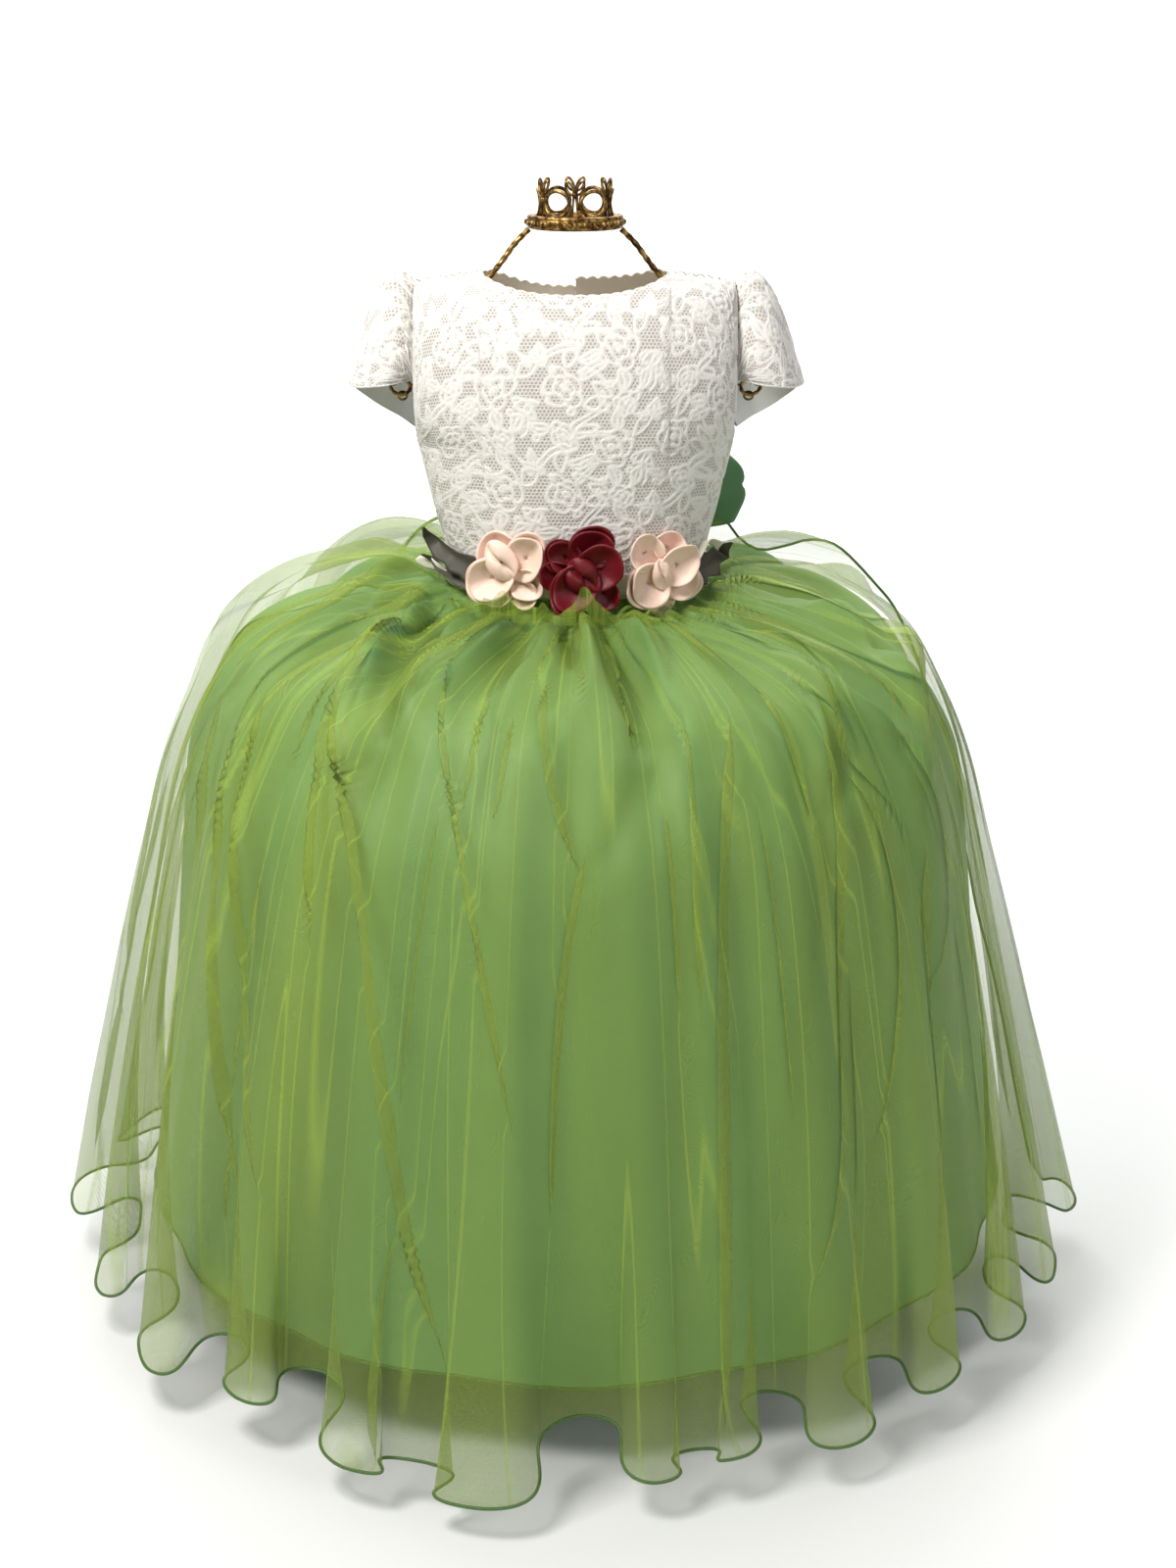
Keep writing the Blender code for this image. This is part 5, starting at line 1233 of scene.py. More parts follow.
def make_lace(name, replaced, outer, smooth_side, normals, outward, cloth, board, row_step, rim_name, lining):
    """Corded lace, the lining behind it, and the turned edge that joins them along the last row."""
    height = bpy.context.scene.dress_fabrics.cord_height
    raised, masks = raise_lace(outer, normals, cloth, board, height)
    piece = make_piece(name, raised, grid_faces(*outer.shape[:2]), finish_for("ivory lace"), "ivory_lace",
                       (replaced,), cloth, flip=outward < 0, masks=masks)
    inner = (smooth_side - normals * LACE_WALL * LINING_DEPTH)[::row_step, ::LINING_COLUMN_STEP]
    back = make_piece(name + "_lining", inner, grid_faces(*inner.shape[:2]), lining, "ivory_lace",
                      cloth=cloth[::row_step, ::LINING_COLUMN_STEP], flip=outward > 0)
    edge = wire(outer[-1] - normals[-1] * LACE_WALL * EDGE_DEPTH, LACE_EDGE_R, 6)
    return piece, back, make_piece(name + rim_name, *edge, lining, "ivory_lace")


def make_bodice():
    """Lace bodice: front and two backs, each with its lining, and edges at the neck."""
    board = LaceBoard()
    lining = finish_for("ivory lining")
    panels = (("bodice_lace_front", "bodice_front", -1, 310, 241, NECK_FRONT, 0),
              ("bodice_lace_back_left", "bodice_back_left", 1, 121, 193, NECK_BACK_LEFT, -1),
              ("bodice_lace_back_right", "bodice_back_right", 1, 121, 193, NECK_BACK_RIGHT, 1))
    for name, replaced, side, count, rows, neck, sign in panels:
        shares, run_out = even_columns(side, count, sign == 0)
        if sign:
            shares, run_out = shares * sign, run_out * sign
        points, run_up = panel_points(side, shares, rows, neck)
        scallop = np.abs(np.sin(math.pi * run_out / NECK_SCALLOP)) * (0.0022 if sign else 0.0010)
        points[..., 2] += scallop[None, :] * np.linspace(0.0, 1.0, rows)[:, None]**30
        normals = grid_normals(points)
        middle = points[rows // 3, count // 2]
        outward = np.sign(np.dot(normals[rows // 3, count // 2], (middle[0], middle[1], 0.0)))
        normals *= outward
        shift = np.array((sign * SEAM_GAP / 2, side * SEAM_GAP / 2, 0.0))
        width = smooth(SECTION_HEIGHTS, SECTION_HALF_WIDTHS, points[..., 2]) / SECTION_HALF_WIDTHS[-1]
        cloth = np.stack((run_out[None, :] * width + (0.5 if side > 0 else 0.031), run_up + 0.009), -1)
        piece, back, rim = make_lace(name, replaced, points + shift, points + shift, normals, outward, cloth,
                                     board, 4, "_neck_edge", lining)


SLEEVE_AT = np.arange(9)
SLEEVE_RISE = (0.43, 0.58, 0.72, 0.88, 1.00, 0.88, 0.66, 0.38, 0.10)
SLEEVE_HEM_X = (0.1310, 0.1480, 0.1660, 0.1780, 0.1820, 0.1780, 0.1660, 0.1480, 0.1310)
SLEEVE_HEM_Y = (-0.0395, -0.0500, -0.0450, -0.0250, 0.0000, 0.0280, 0.0480, 0.0560, 0.0340)
SLEEVE_HEM_Z = (0.763, 0.761, 0.759, 0.758, 0.757, 0.748, 0.735, 0.723, 0.716)
SLEEVE_HEM = (SLEEVE_HEM_X, SLEEVE_HEM_Y, SLEEVE_HEM_Z)
SLEEVE_PUFF = (0.000, 0.010, 0.022, 0.031, 0.034, 0.031, 0.022, 0.010, 0.000)
SLEEVE_HEAD = 4
SLEEVE_GATHERS = 17


def sleeve_points(sign, at, out):
    """A cap sleeve: at runs round the armhole from front to back, out runs from the seam to the hem."""
    rise = smooth(SLEEVE_AT, SLEEVE_RISE, at)
    front = bodice_high(-1, np.ones_like(at), rise)
    back = bodice_high(1, np.ones_like(at), rise)
    seam = np.where((at < SLEEVE_HEAD)[..., None], front, back)
    seam[..., 0] = ARMHOLE_X + SEAM_GAP
    hem = np.stack([smooth(SLEEVE_AT, column, at) for column in SLEEVE_HEM], -1)
    puff = smooth(SLEEVE_AT, SLEEVE_PUFF, at)
    way = hem - seam
    first = seam + np.stack((0.30 * way[..., 0] + 0.2 * puff, 0.55 * way[..., 1], puff), -1)
    second = hem - np.stack((0.22 * way[..., 0], -0.05 * way[..., 1],
                             -0.30 * np.abs(way[..., 2]) - 0.5 * puff), -1)
    t = out[..., None]
    points = seam * (1 - t)**3 + first * (3 * t * (1 - t)**2) + second * (3 * t**2 * (1 - t)) + hem * t**3
    points[..., 0] = np.maximum(points[..., 0], ARMHOLE_X + SEAM_GAP)
    return points * np.array((sign, 1.0, 1.0))


def make_sleeves():
    """Cap sleeves, gathered at the head, with a plain lining."""
    board = LaceBoard()
    lining = finish_for("sleeve lining")
    rows, count = 85, 190
    for side, sign in (("left", -1), ("right", 1)):
        name, replaced = "sleeve_lace_" + side, "sleeve_" + side
        at, out = np.meshgrid(np.linspace(0.0, 8.0, count), np.linspace(0.0, 1.0, rows))
        points = sleeve_points(sign, at, out)
        normals = grid_normals(points)
        middle = points[rows // 2, count // 2] - np.array((sign * ARMHOLE_X, 0.005, 0.745))
        outward = np.sign(np.dot(normals[rows // 2, count // 2], middle))
        normals *= outward
        spread = bump(at, 1.2, 6.6, 0.8)
        uneven = 0.7 + 0.3 * np.sin(at * 2.3 + sign)
        gather = 0.0013 * spread * uneven * np.exp(-((out - 0.10) / 0.30)**2) * np.sin(
            2 * math.pi * (SLEEVE_GATHERS / 8.0) * at + 0.8 * np.sin(at * 1.7))
        head = 0.0008 * spread * np.exp(-((out - 0.16) / 0.14)**2)
        puffed = points + normals * (gather * ramp(0.0, 0.06, out) + head * ramp(0.0, 0.10, out))[..., None]
        runs = arc_sheet(points)
        cloth = np.stack((runs[50:51, :, 0] * np.ones((rows, 1)) + 0.3, runs[..., 1].mean(1)[:, None]
                          * np.ones((1, count)) + 0.02), -1)
        piece, back, rim = make_lace(name, replaced, puffed, points, normals, outward, cloth, board, 3,
                                     "_hem", lining)


# Belt, flowers and leaves

BELT_LOW = 0.5994
BELT_HIGH = 0.6185
# Leaves and ribbon ends that reach past this x stand beside the body instead of following it.
BELT_SIDE = SECTION_HALF_WIDTHS[1] * 0.985
Petal = namedtuple("Petal", "right up long wide turn lift lean layers")
Flower = namedtuple("Flower", "name node x z stand_off finish slot petals")
# Petals in millimetres from the flower's middle, the lowest first: middle, half length and half
# width, the way that the outer end points, lift, how far that end leans forward, and its layers:
# one, two, or a closed bud.
BUD = 3
FLOWERS = (
    Flower("satin_flower_left", "flower_left", -0.0510, 0.6215, 0.0030, "peach satin", "peach_satin", (
        Petal(-7.4, 14.7, 16.0, 16.8, 115, 2.0, -0.10, 1), Petal(-6.4, -15.6, 16.0, 13.2, 232, 2.0, 0.00, 1),
        Petal(13.8, -17.5, 12.5, 13.2, -62, 2.0, -0.05, 1), Petal(17.5, -10.1, 14.2, 13.2, -28, 3.2, 0.00, 1),
        Petal(16.6, 10.1, 19.9, 15.6, 62, 4.4, 0.05, 2), Petal(-10.1, -6.4, 19.9, 16.2, 196, 6.0, 0.10, 2),
        Petal(-1.8, 8.3, 17.7, 12.6, 125, 9.5, 0.05, 3))),
    Flower("satin_flower_centre", "flower_centre", 0.0055, 0.6235, 0.0130, "burgundy satin",
           "burgundy_satin", (
        Petal(-8.3, -21.2, 13.7, 12.0, -110, 0.6, 0.00, 1), Petal(15.6, -17.5, 14.2, 12.6, -45, 1.2, 0.00, 1),
        Petal(-20.2, -2.8, 13.7, 12.6, 175, 1.2, 0.00, 1), Petal(-12.9, 11, 15.4, 13.2, 140, 2.0, 0.00, 2),
        Petal(7.4, 18.4, 16.5, 16.8, 85, 2.6, 0.05, 2), Petal(12, 4.6, 21.1, 18.0, 52, 4.4, 0.10, 1),
        Petal(-4.6, -10.1, 20.5, 17.4, 214, 6.0, 0.10, 2), Petal(0, -1.8, 16.5, 12.6, 125, 9.5, 0.05, 3))),
    Flower("satin_flower_right", "flower_right", 0.0620, 0.6215, 0.0030, "peach satin", "peach_satin", (
        Petal(1.8, -20.2, 18.2, 11.4, -95, 2.0, 0.00, 1), Petal(8.3, 15.6, 14.2, 15.0, 75, 2.2, -0.05, 1),
        Petal(-12.9, 13.8, 16.0, 15.6, 130, 4.0, 0.05, 1), Petal(17.5, -11, 16.0, 15.0, -25, 3.4, 0.00, 2),
        Petal(-10.1, -10.1, 19.4, 18.0, 205, 5.2, 0.10, 2), Petal(13.8, 2.8, 19.4, 15.0, 38, 6.4, 0.10, 1),
        Petal(-0.9, -3.7, 13.7, 7.8, 100, 9.5, 0.05, 3))),
)
# A petal's section from its middle out over the rolled rim and back along the underside, as shares
# of its half width.
PETAL_SECTION = np.array((
    (0.03, 0.00), (0.22, 0.01), (0.42, 0.05), (0.60, 0.13), (0.74, 0.23), (0.84, 0.33), (0.91, 0.395),
    (0.97, 0.42), (1.01, 0.40), (1.02, 0.35), (1.00, 0.30), (0.92, 0.23), (0.76, 0.10), (0.50, -0.03),
    (0.25, -0.08), (0.03, -0.09),
))
PETAL_TURNS = 36
MILLIMETRE = 0.001


def belt_frame(x, z, lift):
    """A point that stands off the bodice's lower front, and the directions right and out there."""
    half = smooth(SECTION_HEIGHTS, SECTION_HALF_WIDTHS, np.array([z]))[0]
    across = np.clip(np.array([x / half - 0.01, x / half, x / half + 0.01]), -1.0, 1.0)
    before, middle, after = bodice_low(-1, across, np.full(3, z))
    right = unit(after - before)
    right[2] = 0.0
    right = unit(right)
    out = np.array((right[1], -right[0], 0.0))
    return middle + out * lift, right, out


def petal_points(petal, seed, grow=1.0, slip=0.0, drop=0.0, twist=0.0):
    """A cupped satin petal with a rolled rim, pinched where it meets the flower's middle."""
    turns = full_turn(PETAL_TURNS)[None, :]
    reach, rise = PETAL_SECTION[:, :1], PETAL_SECTION[:, 1:]
    draw = np.random.default_rng(seed)
    phases = draw.uniform(0, 2 * math.pi, 3)
    outline = 1.0 + 0.04 * np.sin(2 * turns + phases[0]) + 0.03 * np.sin(3 * turns + phases[1])
    inner = np.exp(-((turns - math.pi) / 0.85)**2)
    outline = outline * (1.0 - 0.06 * inner)
    along = petal.long * grow * reach * outline * np.cos(turns)
    aside = petal.wide * grow * reach * outline * np.sin(turns) * (1.0 - 0.12 * inner)
    open_rim = 1.0 - 0.62 * inner + 0.10 * np.sin(2 * turns + phases[2])
    puckers = 0.05 * np.sin(11 * turns + phases[1]) * inner * reach
    if petal.layers == BUD:
        cleft = np.exp(-((aside / petal.wide - 0.22 * np.sin(2.6 * along / petal.long)) / 0.13)**2)
        dome = 0.55 * np.sqrt(np.clip(1.04 - reach**2, 0.0, 1.0))
        dome = dome - 0.34 * cleft * (1 - np.clip(reach, 0, 1)**6)
        rise = np.where(np.arange(len(reach))[:, None] < 8, dome, rise - 0.3)
    rim_wave = (0.10 * np.sin(3 * turns + phases[0]) * reach**2
                + 0.05 * np.sin(5 * turns + phases[2]) * reach**3)
    trough = -0.10 * np.exp(-((aside / petal.wide) / 0.35)**2) * np.clip(1 - reach, 0, 1)
    up_from_base = petal.wide * (rise * open_rim + puckers + rim_wave + trough)
    tilt = petal.lean * (along + petal.long)
    angle = math.radians(petal.turn + twist)
    along = along + slip
    right = along * math.cos(angle) - aside * math.sin(angle) + petal.right
    up = along * math.sin(angle) + aside * math.cos(angle) + petal.up
    return np.stack((right, up, up_from_base + tilt + petal.lift - drop), -1) * MILLIMETRE


def petal_faces():
    rings = len(PETAL_SECTION)
    last = (rings - 1) * PETAL_TURNS
    ends = [list(range(PETAL_TURNS)), [last + k for k in range(PETAL_TURNS)][::-1]]
    return grid_faces(rings, PETAL_TURNS, True).tolist() + ends


def make_flowers():
    """Three flowers of folded satin petals on the belt."""
    for number, flower in enumerate(FLOWERS):
        base, right, out = belt_frame(flower.x, flower.z, 2 * SEAM_GAP + RIBBON_WALL + flower.stand_off)
        up = np.array((0.0, 0.0, 1.0))
        parts, cloth = [], []
        for k, petal in enumerate(flower.petals):
            layers = [petal_points(petal, 100 * number + k)]
            if petal.layers == 2:
                layers.append(petal_points(petal, 100 * number + k + 50, 1.05, 2.4, 2.2, 9.0))
            for local in layers:
                placed = base + local[..., :1] * right + local[..., 1:2] * up + local[..., 2:] * out
                parts.append((placed.reshape(-1, 3), petal_faces()))
                cloth.append(local[..., :2].reshape(-1, 2) + 0.05 * k)
        make_piece(flower.name, *joined(parts), finish_for(flower.finish), flower.slot, (flower.node,),
                   np.concatenate(cloth))


# Leaves: the name, the node, then stations along the spine: x, z, width above, width below, lift.
LEAF_CUTS = (
    ("satin_leaf_left", "leaf_left", (
        (-0.0640, 0.6120, 0.0100, 0.0090, 0.0035), (-0.0700, 0.6150, 0.0190, 0.0100, 0.0038),
        (-0.0730, 0.6165, 0.0145, 0.0085, 0.0040), (-0.0790, 0.6200, 0.0095, 0.0120, 0.0045),
        (-0.0820, 0.6215, 0.0085, 0.0095, 0.0050), (-0.0880, 0.6250, 0.0060, 0.0125, 0.0060),
        (-0.0910, 0.6270, 0.0055, 0.0085, 0.0065), (-0.0970, 0.6310, 0.0045, 0.0100, 0.0080),
        (-0.1010, 0.6350, 0.0035, 0.0070, 0.0090), (-0.1050, 0.6410, 0.0022, 0.0045, 0.0105),
        (-0.1075, 0.6480, 0.0005, 0.0005, 0.0125))),
    ("satin_leaf_left_low", "leaf_left_low", (
        (-0.0690, 0.6020, 0.0045, 0.0045, 0.0040), (-0.0760, 0.6040, 0.0040, 0.0055, 0.0045),
        (-0.0800, 0.6055, 0.0034, 0.0036, 0.0055), (-0.0870, 0.6085, 0.0034, 0.0050, 0.0065),
        (-0.0910, 0.6105, 0.0028, 0.0026, 0.0080), (-0.0980, 0.6140, 0.0024, 0.0034, 0.0090),
        (-0.1030, 0.6170, 0.0016, 0.0018, 0.0105), (-0.1100, 0.6215, 0.0004, 0.0004, 0.0120))),
    ("satin_leaf_right", "leaf_right", (
        (0.0760, 0.6010, 0.0100, 0.0070, 0.0040), (0.0820, 0.6050, 0.0150, 0.0080, 0.0045),
        (0.0850, 0.6075, 0.0125, 0.0070, 0.0050), (0.0900, 0.6115, 0.0165, 0.0120, 0.0055),
        (0.0925, 0.6140, 0.0110, 0.0075, 0.0060), (0.0970, 0.6180, 0.0125, 0.0135, 0.0075),
        (0.0995, 0.6210, 0.0070, 0.0070, 0.0085), (0.1040, 0.6250, 0.0080, 0.0095, 0.0100),
        (0.1065, 0.6285, 0.0040, 0.0040, 0.0110), (0.1105, 0.6330, 0.0005, 0.0005, 0.0130))),
)


def make_leaves():
    """Jagged dark satin leaves beside the flowers."""
    satin = finish_for("dark satin")
    for name, replaced, stations in LEAF_CUTS:
        rows = []
        for number, (x, z, above, below, lift) in enumerate(stations):
            following = stations[min(number + 1, len(stations) - 1)]
            previous = stations[max(number - 1, 0)]
            heading = unit(np.array((following[0] - previous[0], following[1] - previous[1])))
            if heading[0] < 0:
                side = np.array((heading[1], -heading[0]))
            else:
                side = np.array((-heading[1], heading[0]))
            row = []
            for share in np.linspace(-1.0, 1.0, 9):
                reach = share * (above if share > 0 else below)
                body_x = np.clip(x, -BELT_SIDE, BELT_SIDE)
                middle = belt_frame(body_x, z, lift + 0.0025 * abs(share)**1.5 + RIBBON_WALL)[0]
                place = middle + np.array((x - body_x, 0.0, 0.0))
                row.append(place + np.array((side[0] * reach, 0.0, side[1] * reach)))
            rows.append(row)
        coarse = np.array(rows)
        fine_at = np.linspace(0, len(stations) - 1, (len(stations) - 1) * 3 + 1)
        points = np.stack([np.stack([np.interp(fine_at, np.arange(len(stations)), coarse[:, k, axis])
                                     for k in range(9)], 1) for axis in range(3)], -1)
        normals = grid_normals(points)
        points = points + normals * (0.0007 * np.sin(np.linspace(0, 14, points.shape[0]))[:, None, None])
        make_shell(name, points, 0.0006, satin, "dark_satin", (replaced,))


def make_belt():
    """The ribbon round the waist seam, which twists a little free beside the leaves."""
    ribbon = finish_for("cream ribbon")
    turns = full_turn(240)
    rows = np.linspace(BELT_LOW, BELT_HIGH, 9)
    x, y = np.sin(turns), np.cos(turns)
    points = np.empty((len(rows), len(turns), 3))
    for number, height in enumerate(rows):
        half = smooth(SECTION_HEIGHTS, SECTION_HALF_WIDTHS, np.array([height]))[0]
        front = smooth(SECTION_HEIGHTS, SECTION_FRONTS, np.array([height]))[0]
        back = smooth(SECTION_HEIGHTS, SECTION_BACKS, np.array([height]))[0]
        depth = np.where(y > 0, front, back)
        reach = oval_reach(x, y, half, depth)
        share = number / (len(rows) - 1)
        ripple = 0.0004 * np.sin(9 * turns + 2.0 * share) + 0.0006 * (2 * share - 1)**2
        reach = reach + SEAM_GAP + RIBBON_WALL + ripple
        points[number] = np.stack((reach * x, -reach * y, np.full_like(x, height)), -1)
    belt = make_shell("ribbon_belt", points[:, ::-1], RIBBON_WALL * 0.8, ribbon, "cream_ribbon", ("belt",),
                      True)
    ends = (
        ("ribbon_end_left", ((-0.082, 0.6060, 0.0042, 0.0), (-0.094, 0.6095, 0.009, 0.20),
                             (-0.104, 0.6125, 0.013, 0.35), (-0.1135, 0.6150, 0.016, 0.5)), 0.0060),
        ("ribbon_end_right", ((0.0900, 0.6160, 0.003, 1.4), (0.0960, 0.6300, 0.005, 1.35),
                              (0.0985, 0.6375, 0.008, 1.2), (0.1020, 0.6330, 0.011, 1.0),
                              (0.1070, 0.6230, 0.012, 0.9)), 0.0042),
    )
    for name, route, breadth in ends:
        steps = np.linspace(0, len(route) - 1, 28)
        table = np.array(route)
        xs, zs, lifts, tilts = [smooth(np.arange(len(route)), table[:, c], steps) for c in range(4)]
        grid = np.empty((28, 5, 3))
        for number in range(28):
            body_x = np.clip(xs[number], -BELT_SIDE, BELT_SIDE)
            middle, _, out = belt_frame(body_x, min(zs[number], 0.64), lifts[number])
            middle = middle + np.array((xs[number] - body_x, 0.0, 0.0))
            side = np.array((0.0, 0.0, math.cos(tilts[number]))) + out * math.sin(tilts[number])
            taper = 1.0 if number < 24 or name.endswith("right") else (28 - number) / 5
            for k in range(5):
                grid[number, k] = middle + side * breadth * (k / 2 - 1.0) * taper
        make_shell(name, grid, 0.0005, ribbon, "cream_ribbon")


# Bow and zip

KNOT_HALF = (0.0105, 0.0105, 0.0215)
KNOT_Z = 0.6300
LOOP_ROOT_X = 0.0112
LOOP_MIDDLE = (0.075, 0.110)
# The loop that the photo hides stands nearer the middle.
LOOP_SPREADS = {"left": 0.80, "right": 1.06}
# A loop from its upper root round its end and back: x, y, lower edge, upper edge.
BOW_LOOP = np.array((
    (0.0112, 0.0865, 0.6190, 0.6420), (0.0300, 0.0850, 0.6180, 0.6540), (0.0600, 0.0870, 0.6175, 0.6700),
    (0.0950, 0.0960, 0.6175, 0.6800), (0.1230, 0.1080, 0.6180, 0.6820), (0.1370, 0.1190, 0.6200, 0.6800),
    (0.1330, 0.1300, 0.6210, 0.6780), (0.1150, 0.1340, 0.6200, 0.6770), (0.0850, 0.1310, 0.6190, 0.6720),
    (0.0500, 0.1200, 0.6190, 0.6600), (0.0250, 0.1070, 0.6200, 0.6480), (0.0112, 0.0985, 0.6210, 0.6400),
))
# A tail on its way down: level, x of its middle, half width.
BOW_TAIL = np.array((
    (1.6, 0.0090, 0.0085), (2.2, 0.0140, 0.0120), (3.0, 0.0210, 0.0170), (4.0, 0.0270, 0.0215),
    (5.0, 0.0320, 0.0245), (6.0, 0.0370, 0.0265), (7.0, 0.0420, 0.0280), (8.0, 0.0460, 0.0285),
    (8.6, 0.0490, 0.0290),
))


def make_bow():
    """The satin bow at the back waist: a wrapped knot, two full loops and two tails."""
    satin = finish_for("sash satin")
    seat = SECTION_BACKS[0] + 3 * SEAM_GAP + RIBBON_WALL
    turn, height = np.meshgrid(full_turn(40), np.linspace(-1.0, 1.0, 25))
    swell = 0.55 + 0.45 * np.sqrt(np.clip(1 - height**2, 0, 1))
    pleat = 1.0 + 0.05 * np.cos(4 * height * math.pi + 1.5 * np.sin(turn)) * (1 - height**2)
    knot = np.stack((KNOT_HALF[0] * swell * pleat * np.sin(turn),
                     seat + KNOT_HALF[1] - KNOT_HALF[1] * swell * pleat * np.cos(turn),
                     KNOT_Z + KNOT_HALF[2] * height), -1)
    make_piece("sash_knot", knot, capped_faces(25, 40), satin, "sash_satin", ("bow_knot",), arc_sheet(knot))
    for side, sign in (("left", -1), ("right", 1)):
        steps, rows = 110, 25
        at = np.linspace(0.0, len(BOW_LOOP) - 1, steps)
        x, y, low, high = [smooth(np.arange(len(BOW_LOOP)), BOW_LOOP[:, c], at)[:, None] for c in range(4)]
        share = np.linspace(0.0, 1.0, rows)[None, :]
        away = np.clip((x - LOOP_ROOT_X) / 0.09, 0.0, 1.0)
        round_end = np.where(share > 0.5, 0.016, 0.009) * np.abs(2 * share - 1)**2.4 * away**2
        fold = 0.0022 * np.sin(share * math.pi * 5 + 0.7 * sign + at[:, None] * 0.3) * (1 - 0.75 * away)
        crease_at = 0.52 + 0.06 * np.sin(at[:, None] * 0.6)
        crease = -0.0022 * np.exp(-((share - crease_at) / 0.05)**2) * (0.35 + 0.65 * away)
        out = unit(np.stack((x - LOOP_MIDDLE[0], y - LOOP_MIDDLE[1]), -1))
        grid = np.stack((x - round_end + out[..., 0] * (fold + crease), y + out[..., 1] * (fold + crease),
                         low + (high - low) * share), -1)
        grid[..., 0] = np.maximum(grid[..., 0], LOOP_ROOT_X)
        grid = grid * np.array((sign * LOOP_SPREADS[side], 1.0, 1.0))
        loop = make_shell("sash_loop_" + side, grid, 0.0007, satin, "sash_satin", ("bow_loop_" + side,))
        make_bow_tail(side, sign, satin)


def make_bow_tail(side, sign, satin):
    levels = np.linspace(BOW_TAIL[0][0], BOW_TAIL[-1][0], 90)
    centre = smooth(BOW_TAIL[:, 0], BOW_TAIL[:, 1], levels)
    half = smooth(BOW_TAIL[:, 0], BOW_TAIL[:, 2], levels)
    share = np.linspace(-1.0, 1.0, 21)
    x = sign * (centre[:, None] + half[:, None] * share[None, :])
    depth = np.abs(skirt_form(*SATIN_FORM, np.full_like(levels, 180.0), levels)[:, 1])
    azimuth = 180.0 - np.degrees(np.arctan2(x, depth[:, None]))
    level = levels[:, None] * np.ones_like(x)
    end = np.clip((levels - 8.1) / 0.5, 0, 1)[:, None]
    level = level - end * 0.32 * (1 - np.abs(share[None, :]))
    wave = 0.0016 * np.sin(share[None, :] * 6.5 + levels[:, None] * 0.5)
    lift = 0.0036 + wave + np.maximum(satin_relief(azimuth, level), 0.0) * 0.9
    points = skirt_form(*SATIN_FORM, azimuth, level)
    points = points + form_normals(SATIN_FORM, azimuth, level) * lift[..., None]
    top = np.stack((sign * (0.0015 + 0.012 * (share + 1) / 2), np.full_like(share, 0.1022),
                    np.full_like(share, KNOT_Z - KNOT_HALF[2] + 0.001)), -1)
    lead = np.stack([top + (points[0] - top) * s for s in (0.0, 0.3, 0.6, 0.85)])
    points = np.concatenate((lead, points))
    tail = make_shell("sash_tail_" + side, points, 0.0007 * sign, satin, "sash_satin", ("bow_tail_" + side,))


def centre_back(height):
    rise = (np.asarray(height, float) - UNDERARM_Z) / (shoulder_z(0.0) - UNDERARM_Z)
    return bodice_high(1, np.zeros_like(rise), rise)


def make_zip():
    """The concealed zip: its tape behind the back edges, the seam's stitches, and the slider with its tab."""
    tape = finish_for("zip tape")
    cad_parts["back_zip"].data.materials.clear()
    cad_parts["back_zip"].data.materials.append(tape)
    low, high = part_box("zip_pull")
    middle = (low + high) / 2
    heights = np.linspace(low.z, high.z, 30)
    share = np.linspace(0.0, 1.0, 30)
    width = 0.0010 + 0.0013 * np.sin(math.pi * np.clip(share * 0.9, 0, 1))**0.6 * (1 - 0.5 * share)
    path = centre_back(np.minimum(heights, high.z)) + np.array((0.0, 0.0013, 0.0))
    parts = [wire(path, width, 12, squash=0.42)]
    ring_turn = full_turn(20)
    top = path[-1]
    ring = top + np.stack((0.0016 * np.cos(ring_turn), np.full(20, 0.0010),
                           0.0016 * np.sin(ring_turn) + 0.001), -1)
    parts.append(wire(ring, 0.0005, 6, True))
    make_piece("zip_tab", *joined(parts), finish_for("antique brass"), "antique_brass", ("zip_pull",))
    stitch_parts = []
    seam_heights = np.linspace(0.722, middle.z - 0.012, 44)
    for height in seam_heights:
        ends = centre_back(np.array([height - 0.0009, height, height + 0.0009]))
        ends = ends + np.array((0.0, 0.0006, 0.0))
        for sign in (-1, 1):
            run = ends + np.array((sign * 0.0022, 0.0, 0.0))
            stitch_parts.append(wire(run, 0.00022, 4))
    make_piece("zip_stitches", *joined(stitch_parts), finish_for("ivory lining"), "zip_tape")


# Dress form

WIRE_R = 0.0024
RING_Z = 0.6000
RING_HALF_WIDTH = 0.0978
ROD_SIDE = ((0.0990, 0.630), (0.1060, 0.665), (0.1125, 0.690), (0.1125, 0.708), (0.1180, 0.735),
            (0.1215, 0.765), (0.1222, 0.795), (0.1205, 0.818))
ROD_SHOULDER_XS = (0.1130, 0.1000, 0.0850, 0.0760)
ROD_NECK = ((0.0690, 0.8385), (0.0630, 0.8445), (0.0565, 0.8525), (0.0480, 0.8640), (0.0361, 0.8759))
SCROLL_CENTRE = (0.1385, 0.7535)
NECK_PLATE = (
    (0.0250, 0.8795), (0.0300, 0.8772), (0.0340, 0.8764), (0.0366, 0.8770), (0.0376, 0.8782),
    (0.0372, 0.8796), (0.0384, 0.8806), (0.0388, 0.8822), (0.0380, 0.8836), (0.0372, 0.8842),
    (0.0378, 0.8852), (0.0370, 0.8866), (0.0345, 0.8870), (0.0300, 0.8866), (0.0250, 0.8860),
)
CROWN_R = 0.0290
BEADS = 60
BEAD_RING = 0.0382
CROWN_LOOPS = 6


def spaced_path(points, step):
    points = np.asarray(points, float)
    run = run_along(points)
    at = np.linspace(0.0, run[-1], max(4, int(run[-1] / step)))
    return np.stack([smooth(run, points[:, axis], at) for axis in range(points.shape[1])], -1), at


